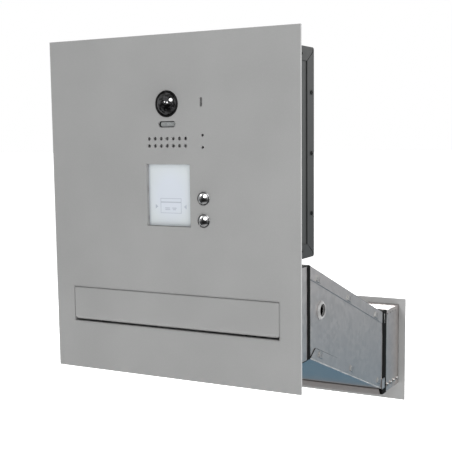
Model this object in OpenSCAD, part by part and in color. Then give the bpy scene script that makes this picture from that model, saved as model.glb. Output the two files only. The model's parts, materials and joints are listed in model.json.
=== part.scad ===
// Through-wall door station: a flat metal front plate with a video door intercom and a letter
// flap, a steel back box behind the intercom, and a sloping sheet-metal letter duct that runs
// through the wall to a box with a removal door on the room side.
// Frame: +X right, +Y into the wall, +Z up. The origin is the centre of the outer wall face.

/* [Front plate] */
// Width of the front plate
plate_w = 400; // [380:1:440]
// Height of the front plate
plate_h = 478; // [470:1:520]
// Thickness of the front plate
plate_t = 3; // [2.5:0.5:4]
// Thickness of the foam seal between plate and wall
wall_gasket_t = 2; // [1.5:0.5:3]

/* [Wall] */
// Distance from the outer wall face to the inner wall face
wall_depth = 425; // [360:5:520]

/* [Letter slot] */
// Width of the letter slot in the plate
slot_w = 340; // [325:1:345]
// Height of the letter slot in the plate
slot_h = 54.5; // [50:0.5:56]
// Height of the slot's centre above the plate's centre
slot_z = -143; // [-146:1:-141]
// Thickness of the letter flap's sheet
flap_t = 1.5; // [1.2:0.1:1.6]
// Outer radius of the curved finger lip at the flap's foot
lip_r = 6.5; // [5:0.5:8]

/* [Letter duct] */
// Height of the duct's upper edge behind the plate
duct_top = -74.5; // [-76:0.5:-72]
// Height of the duct's clear outer section
duct_h = 128; // [124:1:130]
// How far the duct drops on its way through the wall
duct_drop = 112; // [80:1:130]
// Sheet thickness of the duct and of the rear box
sheet_t = 1; // [0.8:0.1:1.2]

/* [Back box] */
// Width of the intercom's back box
backbox_w = 384; // [370:1:384]
// Lower edge of the back box
backbox_bottom = -61.5; // [-64:0.5:-58]
// Upper edge of the back box
backbox_top = 214.5; // [205:0.5:220]
// How far the back box reaches into the wall
backbox_depth = 55; // [50:1:70]

/* [Intercom] */
// Sideways place of the camera, the speaker and the window
module_x = -0.8; // [-2:0.1:2]
// Height of the camera above the plate's centre
camera_z = 145.3; // [143:0.1:147]
// Sideways place of the two call buttons
button_x = 56; // [54:0.5:58]
// How far a call button travels
button_travel = 1.5; // [1:0.1:1.8]

/* [Removal door] */
// Width of the rear plate
rear_plate_w = 400; // [396:1:420]
// Upper edge of the rear plate
rear_plate_top = -177; // [-178:0.5:-170]
// Lower edge of the rear plate
rear_plate_bottom = -353.5; // [-370:0.5:-345]
// Gap round the door and round its opening
door_gap = 1.5; // [1.2:0.1:2]

/* [Hidden] */
$fn = 48;
eps = 0.01;

// Planes across the wall
front_y = -plate_t - wall_gasket_t;
back_y = -wall_gasket_t;
rear_y = wall_depth;
rear_plate_t = 2;
rear_face_y = rear_y + rear_plate_t;

// Letter slot frame, flap and hinge
slot_fit = 0.1;
frame_wall = 1.2;
frame_back_y = 14;
frame_w = slot_w - 2 * slot_fit;
frame_h = slot_h - 2 * slot_fit;
frame_in_w = frame_w - 2 * frame_wall;
frame_in_h = frame_h - 2 * frame_wall;
flap_side_gap = 0.8;
flap_top_gap = 0.6;
flap_foot_gap = 2;
flap_w = frame_in_w - 2 * flap_side_gap;
flap_top = slot_z + frame_in_h / 2 - flap_top_gap;
flap_foot = slot_z - frame_in_h / 2 + flap_foot_gap;
flap_front_y = front_y + 0.3;
bead_r = 2.2;
flap_rod_r = 1;
flap_rod_fit = 0.05;
flap_axis_y = flap_front_y + bead_r;
flap_axis_z = flap_top - bead_r;
lip_leg = 3;

// Duct
duct_w = 378;
duct_in_w = duct_w - 4 * sheet_t;
collar_end_y = 45;
seal_w = 8.3;
front_seal_y = 41;
slope_start_y = front_seal_y + seal_w;
slope_end_y = 340;
duct_end_y = 346;
slope = duct_drop / (slope_end_y - slope_start_y);
flange_h = 18;
seal_t = 1.6;
throat_end_y = 86;
throat_half_w = 184;
throat_top = -96;
throat_bottom = -192;
port_y = 88;
port_z = -141.5;
port_r = 12;
function duct_z(y) = duct_top - slope * (min(max(y, slope_start_y), slope_end_y) - slope_start_y);

// Rear box
rear_seal_end_y = 361.5;
box_start_y = 347;
box_top = duct_z(slope_end_y) - 0.5;
box_bottom = box_top - 137.5;
box_half_w = duct_w / 2 - sheet_t;

// Removal door, its hinges and its lock
door_t = 1.2;
door_flange = 9;
door_left = -box_half_w + sheet_t + door_gap;
door_right = -door_left;
door_top = box_top - sheet_t - door_gap;
door_bottom = box_bottom + sheet_t + door_gap;
door_mid_z = (door_top + door_bottom) / 2;
knuckle_r = 2.5;
door_pin_r = 1.25;
door_pin_fit = 0.05;
door_axis_x = door_left - 1;
door_axis_y = rear_face_y + 0.5 + knuckle_r;
leaf_t = 1.2;
leaf_near = 1;
leaf_w = 11;
hinge_len = 40;
hinge_offset = 42;
hinge_gap = 0.4;
lock_x = 160;
lock_barrel_r = 8.5;
lock_plug_r = 6;
lock_back_y = rear_face_y - 22;
cam_len = 22;
cam_t = 2.5;
cam_half_w = 5;

// Back box
box_t = 1.5;
lid_flap_d = 21.5;
tab_h = 18.5;
backbox_mid_z = (backbox_top + backbox_bottom) / 2;
backbox_inner_w = backbox_w - 2 * box_t;
rim_w = 14;
wall_hole_r = 2.75;
wall_hole_dx = 300;
wall_hole_dz = 180;
wall_hole_z = 95;
grommet_x = -130;
grommet_z = -20;
grommet_hole_r = 8;
grommet_bore_r = 5;

// Intercom module
case_left = -47;
case_right = 70;
case_bottom = -40;
case_top = 171;
case_wall = 2;
case_floor_y = -0.1;
case_back_y = 28;
cover_back_y = 30;
board_y = 15;
board_t = 1.6;
camera_hole_r = 18.3;
light_z = 117.6;
light_w = 28;
light_h = 8.6;
light_block_w = 25.6;
light_block_h = 6.2;
sound_pitch = 9.8;
sound_r = 2.5;
sound_z = 93.1;
mic_x = 53.7;
mic_z = 146.5;
mic_w = 3.7;
mic_h = 13;
status_x = 55.4;
status_z = [102, 85.8];
status_r = 2;
window_w = 70.7;
window_h = 86.5;
window_z = 20.1;
pane_margin = 2.5;
pane_front_y = 0.3;
pane_t = 2;
button_z = [16.7, -13.6];
button_hole_r = 8.75;
button_barrel_r = 8.6;
button_bore_r = 8;
button_rim_r = 9.6;
button_cap_r = 7.85;
button_stem_r = 2.5;
button_stem_fit = 0.05;
button_guide_y = 3;
boss_x = [case_left + 7, case_right - 7];
boss_z = [case_bottom + 7, case_top - 7];
ear_x = [case_left - 6, case_right + 6];
ear_z = [case_bottom + 11, case_top - 11];

// Threaded studs welded to the back of the plate, as [x, z] points
stud_r = 2;
stud_len = 10;
rim_studs = [for (x = [-140, 0, 140], z = [backbox_top - 9, backbox_bottom + 9]) [x, z]];
case_studs = [for (x = ear_x, z = ear_z) [x, z]];
collar_studs = [for (x = [-140, 0, 140], z = [-85, -197]) [x, z]];
throat_studs = [for (x = [-110, 110], z = [-105.5, -181.5]) [x, z]];
all_studs = concat(rim_studs, case_studs, collar_studs, throat_studs);

// A round bar or bore along Y
module bar_y(x, z, r, y0, y1) translate([x, y0, z]) rotate([-90, 0, 0]) cylinder(h = y1 - y0, r = r);

// A round bar along X
module bar_x(y, z, r, x0, x1) translate([x0, y, z]) rotate([0, 90, 0]) cylinder(h = x1 - x0, r = r);

// A block from its low to its high corner
module block(low, high) translate(low) cube(high - low);

// A slot with round ends through Y, w wide and h high
module stadium_y(x, z, w, h, y0, y1) {
    r = min(w, h) / 2;
    dx = max(w - h, 0) / 2;
    dz = max(h - w, 0) / 2;
    for (s = [-1, 1]) bar_y(x + s * dx, z + s * dz, r, y0, y1);
    if (dx > 0) block([x - dx, y0, z - r], [x + dx, y1, z + r]);
    if (dz > 0) block([x - r, y0, z - dz], [x + r, y1, z + dz]);
}

// A side outline in the YZ plane, given as [y, z] points, made solid from x0 to x1
module side_profile(points, x0, x1)
    translate([x0, 0, 0]) rotate([90, 0, 90]) linear_extrude(x1 - x0) polygon(points);

// A hexagon nut along Y
module hex_nut_y(x, z, across, bore_r, y0, y1) difference() {
    translate([x, y0, z]) rotate([-90, 0, 0]) cylinder(h = y1 - y0, r = across / sqrt(3), $fn = 6);
    bar_y(x, z, bore_r, y0 - 1, y1 + 1);
}

// A rectangular ring in the XZ plane between y0 and y1
module ring_y(w_out, top_out, bottom_out, w_in, top_in, bottom_in, y0, y1) difference() {
    block([-w_out / 2, y0, bottom_out], [w_out / 2, y1, top_out]);
    block([-w_in / 2, y0 - 1, bottom_in], [w_in / 2, y1 + 1, top_in]);
}

// A screw with a low round head whose upper side points along Y
module screw_y(x, z, shaft_r, head_r, head_h, head_y, length) {
    difference() {
        bar_y(x, z, head_r, head_y, head_y + head_h);
        block([x - head_r * 0.6, head_y + head_h * 0.5, z - 0.3],
            [x + head_r * 0.6, head_y + head_h + 1, z + 0.3]);
    }
    bar_y(x, z, shaft_r, head_y - length, head_y + eps);
}

// The two columns and two rows of holes and openings that the plate shares with the module
module sound_holes(r, y0, y1)
    for (i = [-3:3], s = [-0.5, 0.5]) bar_y(module_x + i * sound_pitch, sound_z + s * sound_pitch, r, y0, y1);

module front_plate() color([0.64, 0.64, 0.64]) difference() {
    block([-plate_w / 2, front_y, -plate_h / 2], [plate_w / 2, back_y, plate_h / 2]);
    bar_y(module_x, camera_z, camera_hole_r, front_y - 1, back_y + 1);
    stadium_y(module_x, light_z, light_w, light_h, front_y - 1, back_y + 1);
    sound_holes(sound_r, front_y - 1, back_y + 1);
    stadium_y(mic_x, mic_z, mic_w, mic_h, front_y - 1, back_y + 1);
    for (z = status_z) bar_y(status_x, z, status_r, front_y - 1, back_y + 1);
    block([module_x - window_w / 2, front_y - 1, window_z - window_h / 2],
        [module_x + window_w / 2, back_y + 1, window_z + window_h / 2]);
    for (z = button_z) bar_y(button_x, z, button_hole_r, front_y - 1, back_y + 1);
    block([-slot_w / 2, front_y - 1, slot_z - slot_h / 2], [slot_w / 2, back_y + 1, slot_z + slot_h / 2]);
}

gasket_inset = 1;
gasket_w = 6;
module wall_gasket() color([0.12, 0.12, 0.12])
    ring_y(plate_w - 2 * gasket_inset, plate_h / 2 - gasket_inset, -plate_h / 2 + gasket_inset,
        plate_w - 2 * (gasket_inset + gasket_w), plate_h / 2 - gasket_inset - gasket_w,
        -plate_h / 2 + gasket_inset + gasket_w, back_y, 0);

module plate_studs() color([0.7, 0.7, 0.7])
    for (p = all_studs) bar_y(p[0], p[1], stud_r, back_y, back_y + stud_len);

nut_across = 7;
nut_h = 3.2;
module stud_nuts() color([0.75, 0.75, 0.72]) {
    for (p = rim_studs) nut_at(p, back_y + box_t);
    for (p = case_studs) nut_at(p, back_y + 3);
    for (p = concat(collar_studs, throat_studs)) nut_at(p, back_y + sheet_t);
}
module nut_at(p, y) hex_nut_y(p[0], p[1], nut_across, stud_r + 0.05, y, y + nut_h);

module slot_frame() color([0.7, 0.7, 0.7]) difference() {
    ring_y(frame_w, slot_z + frame_h / 2, slot_z - frame_h / 2,
        frame_in_w, slot_z + frame_in_h / 2, slot_z - frame_in_h / 2, front_y, frame_back_y);
    bar_x(flap_axis_y, flap_axis_z, flap_rod_r + flap_rod_fit, -slot_w, slot_w);
}

// The flap hangs from a rolled bead at its head and ends in a lip that curves into the slot
module letter_flap() color([0.66, 0.66, 0.66]) difference() {
    flap_sheet();
    bar_x(flap_axis_y, flap_axis_z, flap_rod_r + 0.03, -slot_w, slot_w);
    for (s = [-1, 1]) flap_corner_cut(s);
}
module flap_sheet() {
    lip_z = flap_foot + lip_r;
    lip_y = flap_front_y + lip_r;
    bar_x(flap_axis_y, flap_axis_z, bead_r, -flap_w / 2, flap_w / 2);
    block([-flap_w / 2, flap_front_y, lip_z], [flap_w / 2, flap_front_y + flap_t, flap_axis_z]);
    intersection() {
        difference() {
            bar_x(lip_y, lip_z, lip_r, -flap_w / 2, flap_w / 2);
            bar_x(lip_y, lip_z, lip_r - flap_t, -flap_w / 2 - 1, flap_w / 2 + 1);
        }
        block([-flap_w, flap_front_y - 1, flap_foot - 1], [flap_w, lip_y, lip_z]);
    }
    block([-flap_w / 2, lip_y, flap_foot], [flap_w / 2, lip_y + lip_leg, flap_foot + flap_t]);
}
module flap_corner_cut(s) difference() {
    block([s * (flap_w / 2 + 1) - (s > 0 ? lip_r + 1 : 0), flap_front_y - 1, flap_foot - 1],
        [s * (flap_w / 2 + 1) + (s > 0 ? 0 : lip_r + 1), flap_front_y + 2 * lip_r, flap_foot + lip_r]);
    bar_y(s * (flap_w / 2 - lip_r), flap_foot + lip_r, lip_r, flap_front_y - 2, flap_front_y + 3 * lip_r);
}

module flap_hinge_rod() color([0.78, 0.78, 0.78])
    bar_x(flap_axis_y, flap_axis_z, flap_rod_r, -frame_w / 2 + 0.3, frame_w / 2 - 0.3);

bumper_x = 120;
bumper_w = 16;
module flap_bumpers() color([0.1, 0.1, 0.1])
    for (s = [-1, 1]) {
        y0 = flap_front_y + lip_r + lip_leg + 0.4;
        z0 = slot_z - frame_in_h / 2;
        side_profile([[y0, z0], [y0 + 4, z0], [y0 + 4, z0 + 2], [y0 + 1.5, z0 + 8], [y0, z0 + 8]],
            s * bumper_x - bumper_w / 2, s * bumper_x + bumper_w / 2);
    }

// Holes for the plate's studs through a flange
module stud_holes(points) for (p = points) bar_y(p[0], p[1], stud_r + 0.2, back_y - 1, back_y + 6);

module front_collar() color([0.6, 0.62, 0.63]) {
    bottom = duct_top - duct_h;
    half = box_half_w;
    ring_y(2 * half, duct_top, bottom, 2 * (half - sheet_t), duct_top - sheet_t, bottom + sheet_t,
        back_y, collar_end_y);
    difference() {
        ring_y(2 * half - eps, duct_top - eps, bottom + eps, 2 * throat_half_w + 0.4, throat_top + 0.2,
            throat_bottom - 0.2, back_y, back_y + sheet_t);
        stud_holes(collar_studs);
    }
}

// Black rubber band over the joint of collar and duct, with foam strips above and below the collar
module front_seal() color([0.05, 0.05, 0.05]) {
    bottom = duct_top - duct_h;
    ring_y(2 * (box_half_w + seal_t), duct_top + seal_t, bottom - seal_t, 2 * box_half_w, duct_top, bottom,
        front_seal_y, slope_start_y);
    block([-box_half_w, back_y, duct_top], [box_half_w, front_seal_y, duct_top + seal_t - 0.2]);
    block([-box_half_w, 24, bottom - seal_t + 0.2], [box_half_w, front_seal_y, bottom]);
}

module letter_throat() color([0.62, 0.64, 0.65]) {
    ring_y(2 * throat_half_w, throat_top, throat_bottom, 2 * (throat_half_w - sheet_t),
        throat_top - sheet_t, throat_bottom + sheet_t, back_y, throat_end_y);
    difference() {
        ring_y(2 * throat_half_w - eps, throat_top - eps, throat_bottom + eps, frame_w,
            slot_z + frame_h / 2, slot_z - frame_h / 2, back_y, back_y + sheet_t);
        stud_holes(throat_studs);
    }
}

// One side wall of the duct, with the round port for a cable or a wall tie
module duct_side(s) {
    t = sheet_t;
    x_in = s > 0 ? duct_in_w / 2 : -duct_in_w / 2 - t;
    top_drop = t * sqrt(1 + slope * slope);
    y0 = collar_end_y + 0.5;
    difference() {
        side_profile([
            [y0, duct_z(y0) - t], [slope_start_y, duct_z(slope_start_y) - top_drop],
            [slope_end_y, duct_z(slope_end_y) - top_drop], [duct_end_y, duct_z(duct_end_y) - top_drop],
            [duct_end_y, duct_z(duct_end_y) - duct_h + top_drop],
            [slope_end_y, duct_z(slope_end_y) - duct_h + top_drop],
            [slope_start_y, duct_z(slope_start_y) - duct_h + top_drop], [y0, duct_z(y0) - duct_h + top_drop]],
            x_in, x_in + t);
        bar_x(port_y, port_z, port_r, x_in - 1, x_in + t + 1);
    }
}
module duct_side_left() color([0.58, 0.6, 0.6]) duct_side(-1);
module duct_side_right() color([0.58, 0.6, 0.6]) duct_side(1);

// Pale rubber bushes that stand proud of the two ports, each with a bore for a cable or a wall tie
port_bore_r = 9;
port_bush_proud = 3.2;
module port_grommets() color([0.8, 0.8, 0.8]) for (s = [-1, 1])
    translate([s * duct_in_w / 2, port_y, port_z]) rotate([0, s * 90, 0]) rotate_extrude()
        polygon([[port_r - 1.4, -0.6], [port_r + 1, -0.6], [port_r + 1, -0.05], [port_r - 0.1, -0.05],
            [port_r - 0.1, sheet_t + 0.05], [port_r + 1.4, sheet_t + 0.05], [port_r + 1.2, sheet_t + 0.9],
            [port_r - 0.8, sheet_t + port_bush_proud - 0.6], [port_bore_r + 0.6, sheet_t + port_bush_proud],
            [port_bore_r, sheet_t + port_bush_proud - 0.3], [port_bore_r, sheet_t + port_bush_proud - 1.1],
            [port_r - 1.6, sheet_t + 0.6]]);

// A sloping sheet that follows the duct's upper line, lowered by drop and t thick
module sloping_sheet(drop, t, half_w) {
    y0 = collar_end_y + 0.5;
    top = [[y0, duct_z(y0) - drop], [slope_start_y, duct_z(slope_start_y) - drop],
        [slope_end_y, duct_z(slope_end_y) - drop], [duct_end_y, duct_z(duct_end_y) - drop]];
    low = [for (i = [3:-1:0]) [top[i][0], top[i][1] - t]];
    side_profile(concat(top, low), -half_w, half_w);
}

// A low pressed clinch, long along the duct's slope
clinch_l = 15;
clinch_h = 8;
clinch_proud = 1.4;
module clinch(s, y, z) {
    x0 = s > 0 ? duct_w / 2 - 0.2 : -duct_w / 2 - clinch_proud;
    translate([0, y, z]) rotate([-atan(slope), 0, 0])
        difference() {
            block([x0, -clinch_l / 2, -clinch_h / 2], [x0 + clinch_proud + 0.2, clinch_l / 2, clinch_h / 2]);
            for (e = [-1, 1])
                block([x0 - 1, e * 1.4 - 0.4, -clinch_h / 2 + 1], [x0 + 3, e * 1.4 + 0.4, clinch_h / 2 + 1]);
        }
}

top_clinch_y = [77, 193, 310];
bottom_clinch_y = [86, 205, 324];
clinch_inset = 11.5;
flange_y0 = slope_start_y + 0.3;
flange_y1 = slope_end_y - 0.3;
module duct_top_panel() color([0.6, 0.62, 0.62]) {
    t = sheet_t * sqrt(1 + slope * slope);
    sloping_sheet(0, t, box_half_w);
    for (s = [-1, 1]) {
        x0 = s > 0 ? box_half_w : -duct_w / 2;
        side_profile([[flange_y0, duct_z(flange_y0)], [flange_y1, duct_z(flange_y1)],
            [flange_y1, duct_z(flange_y1) - flange_h], [flange_y0, duct_z(flange_y0) - flange_h]],
            x0, x0 + sheet_t);
        for (y = top_clinch_y) clinch(s, y, duct_z(y) - clinch_inset);
    }
}

// The bottom sheet, with a sloping lip that covers the foot of the rear band
module duct_bottom_panel() color([0.55, 0.62, 0.68]) {
    t = sheet_t * sqrt(1 + slope * slope);
    sloping_sheet(duct_h - t, t, box_half_w);
    for (s = [-1, 1]) {
        x0 = s > 0 ? box_half_w : -duct_w / 2;
        low0 = duct_z(flange_y0) - duct_h;
        low1 = duct_z(flange_y1) - duct_h;
        side_profile([[flange_y0, low0], [flange_y0 + flange_h, low0 - slope * flange_h + flange_h],
            [flange_y1, low1 + flange_h], [flange_y1, low1]], x0, x0 + sheet_t);
        for (y = bottom_clinch_y) clinch(s, y, duct_z(y) - duct_h + clinch_inset);
        seal_tongue(s, low1);
    }
    low = duct_z(slope_end_y) - duct_h;
    end_z = box_bottom - seal_t;
    side_profile([[slope_end_y - 1.5, low + eps], [slope_end_y - 0.1, low + eps],
        [slope_end_y - 0.1, low - seal_t], [box_start_y - 0.6, end_z - 0.1], [box_start_y - 1, end_z - 0.9],
        [slope_end_y - 1.3, low - seal_t - 0.5]], -throat_half_w, throat_half_w);
}

// A joggled tongue at the flange's rear end that holds the rubber band's foot
tongue_h = 17;
tongue_y = [slope_end_y - 4, slope_end_y + 9];
module seal_tongue(s, z0) mirror([s > 0 ? 0 : 1, 0, 0]) {
    x0 = box_half_w + seal_t + 0.1;
    block([duct_w / 2 - eps, tongue_y[0], z0], [x0 + sheet_t, flange_y1, z0 + tongue_h]);
    block([x0, flange_y1 - eps, z0], [x0 + sheet_t, tongue_y[1], z0 + tongue_h]);
}

// Wide rubber band over the joint of duct and rear box
module rear_seal() color([0.05, 0.05, 0.05]) {
    y0 = slope_end_y;
    y1 = rear_seal_end_y;
    top = duct_z(y0);
    low = top - duct_h;
    step_y = box_start_y - 0.5;
    difference() {
        side_profile([[y0, top + seal_t], [y1, top + seal_t], [y1, box_bottom - seal_t],
            [step_y, box_bottom - seal_t], [y0, low - seal_t]], -box_half_w - seal_t, box_half_w + seal_t);
        side_profile([[y0 - 1, top], [step_y, top], [step_y, box_top], [y1 + 1, box_top],
            [y1 + 1, box_bottom], [step_y, box_bottom], [step_y, low], [y0 - 1, low]],
            -box_half_w, box_half_w);
    }
}

rear_dot_r = 3;
module rear_box() color([0.6, 0.63, 0.65]) {
    ring_y(2 * box_half_w, box_top, box_bottom, 2 * (box_half_w - sheet_t), box_top - sheet_t,
        box_bottom + sheet_t, box_start_y, rear_face_y);
    for (s = [-1, 1]) {
        x0 = s > 0 ? box_half_w - 0.3 : -box_half_w - 0.9;
        for (y = [370:13:409]) bar_x(y, box_top - 5.5, rear_dot_r, x0, x0 + 1.2);
        for (y = [368:16:416]) bar_x(y, box_bottom + 11, rear_dot_r, x0, x0 + 1.2);
    }
}

module rear_plate() color([0.64, 0.64, 0.64])
    ring_y(rear_plate_w, rear_plate_top, rear_plate_bottom, 2 * box_half_w + 0.2, box_top + 0.1,
        box_bottom - 0.1, rear_y, rear_face_y);

module rear_door() color([0.66, 0.66, 0.66]) difference() {
    block([door_left, rear_face_y - door_flange, door_bottom], [door_right, rear_face_y, door_top]);
    block([door_left + door_t, rear_face_y - door_flange - 1, door_bottom + door_t],
        [door_right - door_t, rear_face_y - door_t, door_top - door_t]);
    bar_y(lock_x, door_mid_z, lock_barrel_r + 0.1, rear_face_y - 5, rear_face_y + 1);
}

// Each hinge has a door knuckle between two frame knuckles
function hinge_z(s) = door_mid_z + s * hinge_offset;
module knuckle(z0, z1, bore_r) difference() {
    translate([door_axis_x, door_axis_y, z0]) cylinder(h = z1 - z0, r = knuckle_r);
    translate([door_axis_x, door_axis_y, z0 - 1]) cylinder(h = z1 - z0 + 2, r = bore_r);
}
module leaf(z0, z1, side, bore_r) {
    near = leaf_near;
    difference() {
        translate([door_axis_x, 0, 0]) mirror([side > 0 ? 0 : 1, 0, 0]) {
            block([near, rear_face_y, z0], [near + leaf_w, rear_face_y + leaf_t, z1]);
            block([near, rear_face_y, z0], [near + leaf_t, door_axis_y, z1]);
        }
        translate([door_axis_x, door_axis_y, z0 - 1]) cylinder(h = z1 - z0 + 2, r = knuckle_r - 0.3);
    }
    knuckle(z0, z1, bore_r);
}
module door_hinge_frame_leaves() color([0.72, 0.72, 0.72])
    for (s = [-1, 1], e = [-1, 1]) {
        z_out = hinge_z(s) + e * hinge_len / 2;
        z_in = hinge_z(s) + e * (hinge_len / 6 + hinge_gap);
        leaf(min(z_out, z_in), max(z_out, z_in), -1, door_pin_r + 0.02);
    }
module door_hinge_door_leaves() color([0.72, 0.72, 0.72])
    for (s = [-1, 1])
        leaf(hinge_z(s) - hinge_len / 6, hinge_z(s) + hinge_len / 6, 1, door_pin_r + door_pin_fit);
module door_hinge_pins() color([0.8, 0.8, 0.8])
    for (s = [-1, 1]) translate([door_axis_x, door_axis_y, hinge_z(s) - hinge_len / 2])
        cylinder(h = hinge_len, r = door_pin_r);

module door_lock_body() color([0.8, 0.8, 0.8]) difference() {
    union() {
        bar_y(lock_x, door_mid_z, lock_barrel_r + 2.5, rear_face_y, rear_face_y + 2.5);
        bar_y(lock_x, door_mid_z, lock_barrel_r, lock_back_y, rear_face_y + eps);
    }
    bar_y(lock_x, door_mid_z, lock_plug_r + 0.05, lock_back_y - 1, rear_face_y + 5);
}
module door_lock_nut() color([0.75, 0.75, 0.7])
    hex_nut_y(lock_x, door_mid_z, 22, lock_barrel_r + 0.05, rear_face_y - door_t - 4, rear_face_y - door_t);
module door_lock_plug() color([0.8, 0.7, 0.4]) difference() {
    bar_y(lock_x, door_mid_z, lock_plug_r, lock_back_y - 0.5, rear_face_y + 2.2);
    block([lock_x - 0.6, rear_face_y - 8, door_mid_z - 3.6],
        [lock_x + 0.6, rear_face_y + 3, door_mid_z + 3.6]);
}
cam_y = lock_back_y - 0.5 - cam_t;
module door_lock_cam() color([0.72, 0.72, 0.72]) difference() {
    union() {
        bar_y(lock_x, door_mid_z, lock_plug_r + 1, cam_y, cam_y + cam_t);
        block([lock_x - cam_half_w, cam_y, door_mid_z - cam_len],
            [lock_x + cam_half_w, cam_y + cam_t, door_mid_z]);
    }
    bar_y(lock_x, door_mid_z, 2.1, cam_y - 1, cam_y + cam_t + 1);
}
module door_lock_cam_screw() color([0.75, 0.75, 0.7])
    translate([0, 2 * cam_y, 0]) mirror([0, 1, 0]) screw_y(lock_x, door_mid_z, 2, 4, 2, cam_y, cam_t - 0.1);

strike_len = 13;
module lock_strike() color([0.72, 0.72, 0.72]) {
    y0 = cam_y + cam_t + 2;
    x1 = box_half_w - sheet_t;
    z = [door_mid_z - strike_len / 2, door_mid_z + strike_len / 2];
    block([x1 - strike_len, y0, z[0]], [x1, y0 + 1.5, z[1]]);
    block([x1 - 1.2, y0, z[0]], [x1, rear_face_y - door_flange - 1, z[1]]);
}

// Four walls of the back box with a rim that bolts to the plate
module backbox_frame() color([0.3, 0.3, 0.31]) {
    t = box_t;
    y1 = backbox_depth - t;
    ring_y(backbox_inner_w, backbox_top - t, backbox_bottom + t, backbox_inner_w - 2 * t,
        backbox_top - 2 * t, backbox_bottom + 2 * t, back_y, y1);
    difference() {
        ring_y(backbox_inner_w - eps, backbox_top - t - eps, backbox_bottom + t + eps,
            backbox_inner_w - 2 * rim_w, backbox_top - t - rim_w, backbox_bottom + t + rim_w,
            back_y, back_y + t);
        stud_holes(rim_studs);
    }
}

// Top and bottom caps, each with a tab folded over the side walls
lid_y = backbox_depth - lid_flap_d;
notch_r = 1.8;
mitre_end = 3.6;
module end_cap() {
    t = box_t;
    y1 = backbox_depth - t;
    z0 = backbox_top - tab_h;
    block([-backbox_w / 2 + eps, back_y, backbox_top - t], [backbox_w / 2 - eps, y1, backbox_top]);
    for (s = [-1, 1]) difference() {
        side_profile([[back_y, z0], [lid_y - 0.6, z0], [y1, backbox_top - mitre_end], [y1, backbox_top],
            [back_y, backbox_top]],
            s > 0 ? backbox_w / 2 - t : -backbox_w / 2, s > 0 ? backbox_w / 2 : -backbox_w / 2 + t);
        bar_x(y1 - 1, backbox_top - 4, notch_r, s > 0 ? backbox_w / 2 - 5 : -backbox_w / 2 - 5,
            s > 0 ? backbox_w / 2 + 5 : -backbox_w / 2 + 5);
        bar_x(back_y + 20, backbox_top - 10, 1.6, s > 0 ? backbox_w / 2 - 5 : -backbox_w / 2 - 5,
            s > 0 ? backbox_w / 2 + 5 : -backbox_w / 2 + 5);
    }
}
module backbox_end_caps() color([0.27, 0.27, 0.28]) intersection() {
    union() {
        end_cap();
        translate([0, 0, 2 * backbox_mid_z]) mirror([0, 0, 1]) end_cap();
    }
    rounded_rear();
}

// The back box's outer shape, with its rear edges rounded
bend_r = 3.5;
module rounded_rear() hull() {
    half = backbox_w / 2 + 1;
    for (z = [backbox_bottom + bend_r, backbox_top - bend_r])
        bar_x(backbox_depth - bend_r, z, bend_r, -half, half);
    block([-half, back_y - 1, backbox_bottom], [half, back_y, backbox_top]);
}

// Rear cover with two mitred flaps folded forward over the side walls
side_screw_z = [for (i = [-1:1]) backbox_mid_z + 79.5 * i];
side_screw_y = backbox_depth - 8.3;
module backbox_rear_cover() color([0.25, 0.25, 0.26]) difference() {
    t = box_t;
    union() {
        intersection() {
            block([-backbox_w / 2 + eps, backbox_depth - t, backbox_bottom],
                [backbox_w / 2 - eps, backbox_depth, backbox_top]);
            rounded_rear();
        }
        for (s = [-1, 1]) side_profile([
            [backbox_depth, backbox_bottom + mitre_end + t], [backbox_depth, backbox_top - mitre_end - t],
            [backbox_depth - t, backbox_top - mitre_end - t], [lid_y, backbox_top - tab_h - 0.4],
            [lid_y, backbox_bottom + tab_h + 0.4], [backbox_depth - t, backbox_bottom + mitre_end + t]],
            s > 0 ? backbox_w / 2 - t : -backbox_w / 2, s > 0 ? backbox_w / 2 : -backbox_w / 2 + t);
    }
    for (s = [-1, 1], z = side_screw_z)
        bar_x(side_screw_y, z, 1.7, s * backbox_w / 2 - 3, s * backbox_w / 2 + 3);
    for (sx = [-0.5, 0.5], sz = [-0.5, 0.5])
        bar_y(sx * wall_hole_dx, wall_hole_z + sz * wall_hole_dz, wall_hole_r,
            backbox_depth - 3, backbox_depth + 1);
    bar_y(grommet_x, grommet_z, grommet_hole_r, backbox_depth - 3, backbox_depth + 1);
}

module backbox_screws() color([0.08, 0.08, 0.08])
    for (s = [0, 1], z = side_screw_z) mirror([s, 0, 0])
        translate([backbox_w / 2, side_screw_y, z]) rotate([0, 90, 0]) difference() {
            union() {
                cylinder(h = 1.3, r = 2.8);
                translate([0, 0, -box_t + 0.1]) cylinder(h = box_t, r = 1.5);
            }
            translate([0, 0, 0.7]) cylinder(h = 2, r = 1.3, $fn = 6);
        }

module cable_grommet() color([0.06, 0.06, 0.06])
    translate([grommet_x, backbox_depth - box_t / 2, grommet_z]) rotate([-90, 0, 0]) rotate_extrude()
        polygon([[grommet_bore_r, -3], [grommet_hole_r + 2.5, -3], [grommet_hole_r + 3, -box_t / 2],
            [grommet_hole_r - 0.05, -box_t / 2], [grommet_hole_r - 0.05, box_t / 2],
            [grommet_hole_r + 3, box_t / 2], [grommet_hole_r + 2.5, 3], [grommet_bore_r, 3]]);

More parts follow.
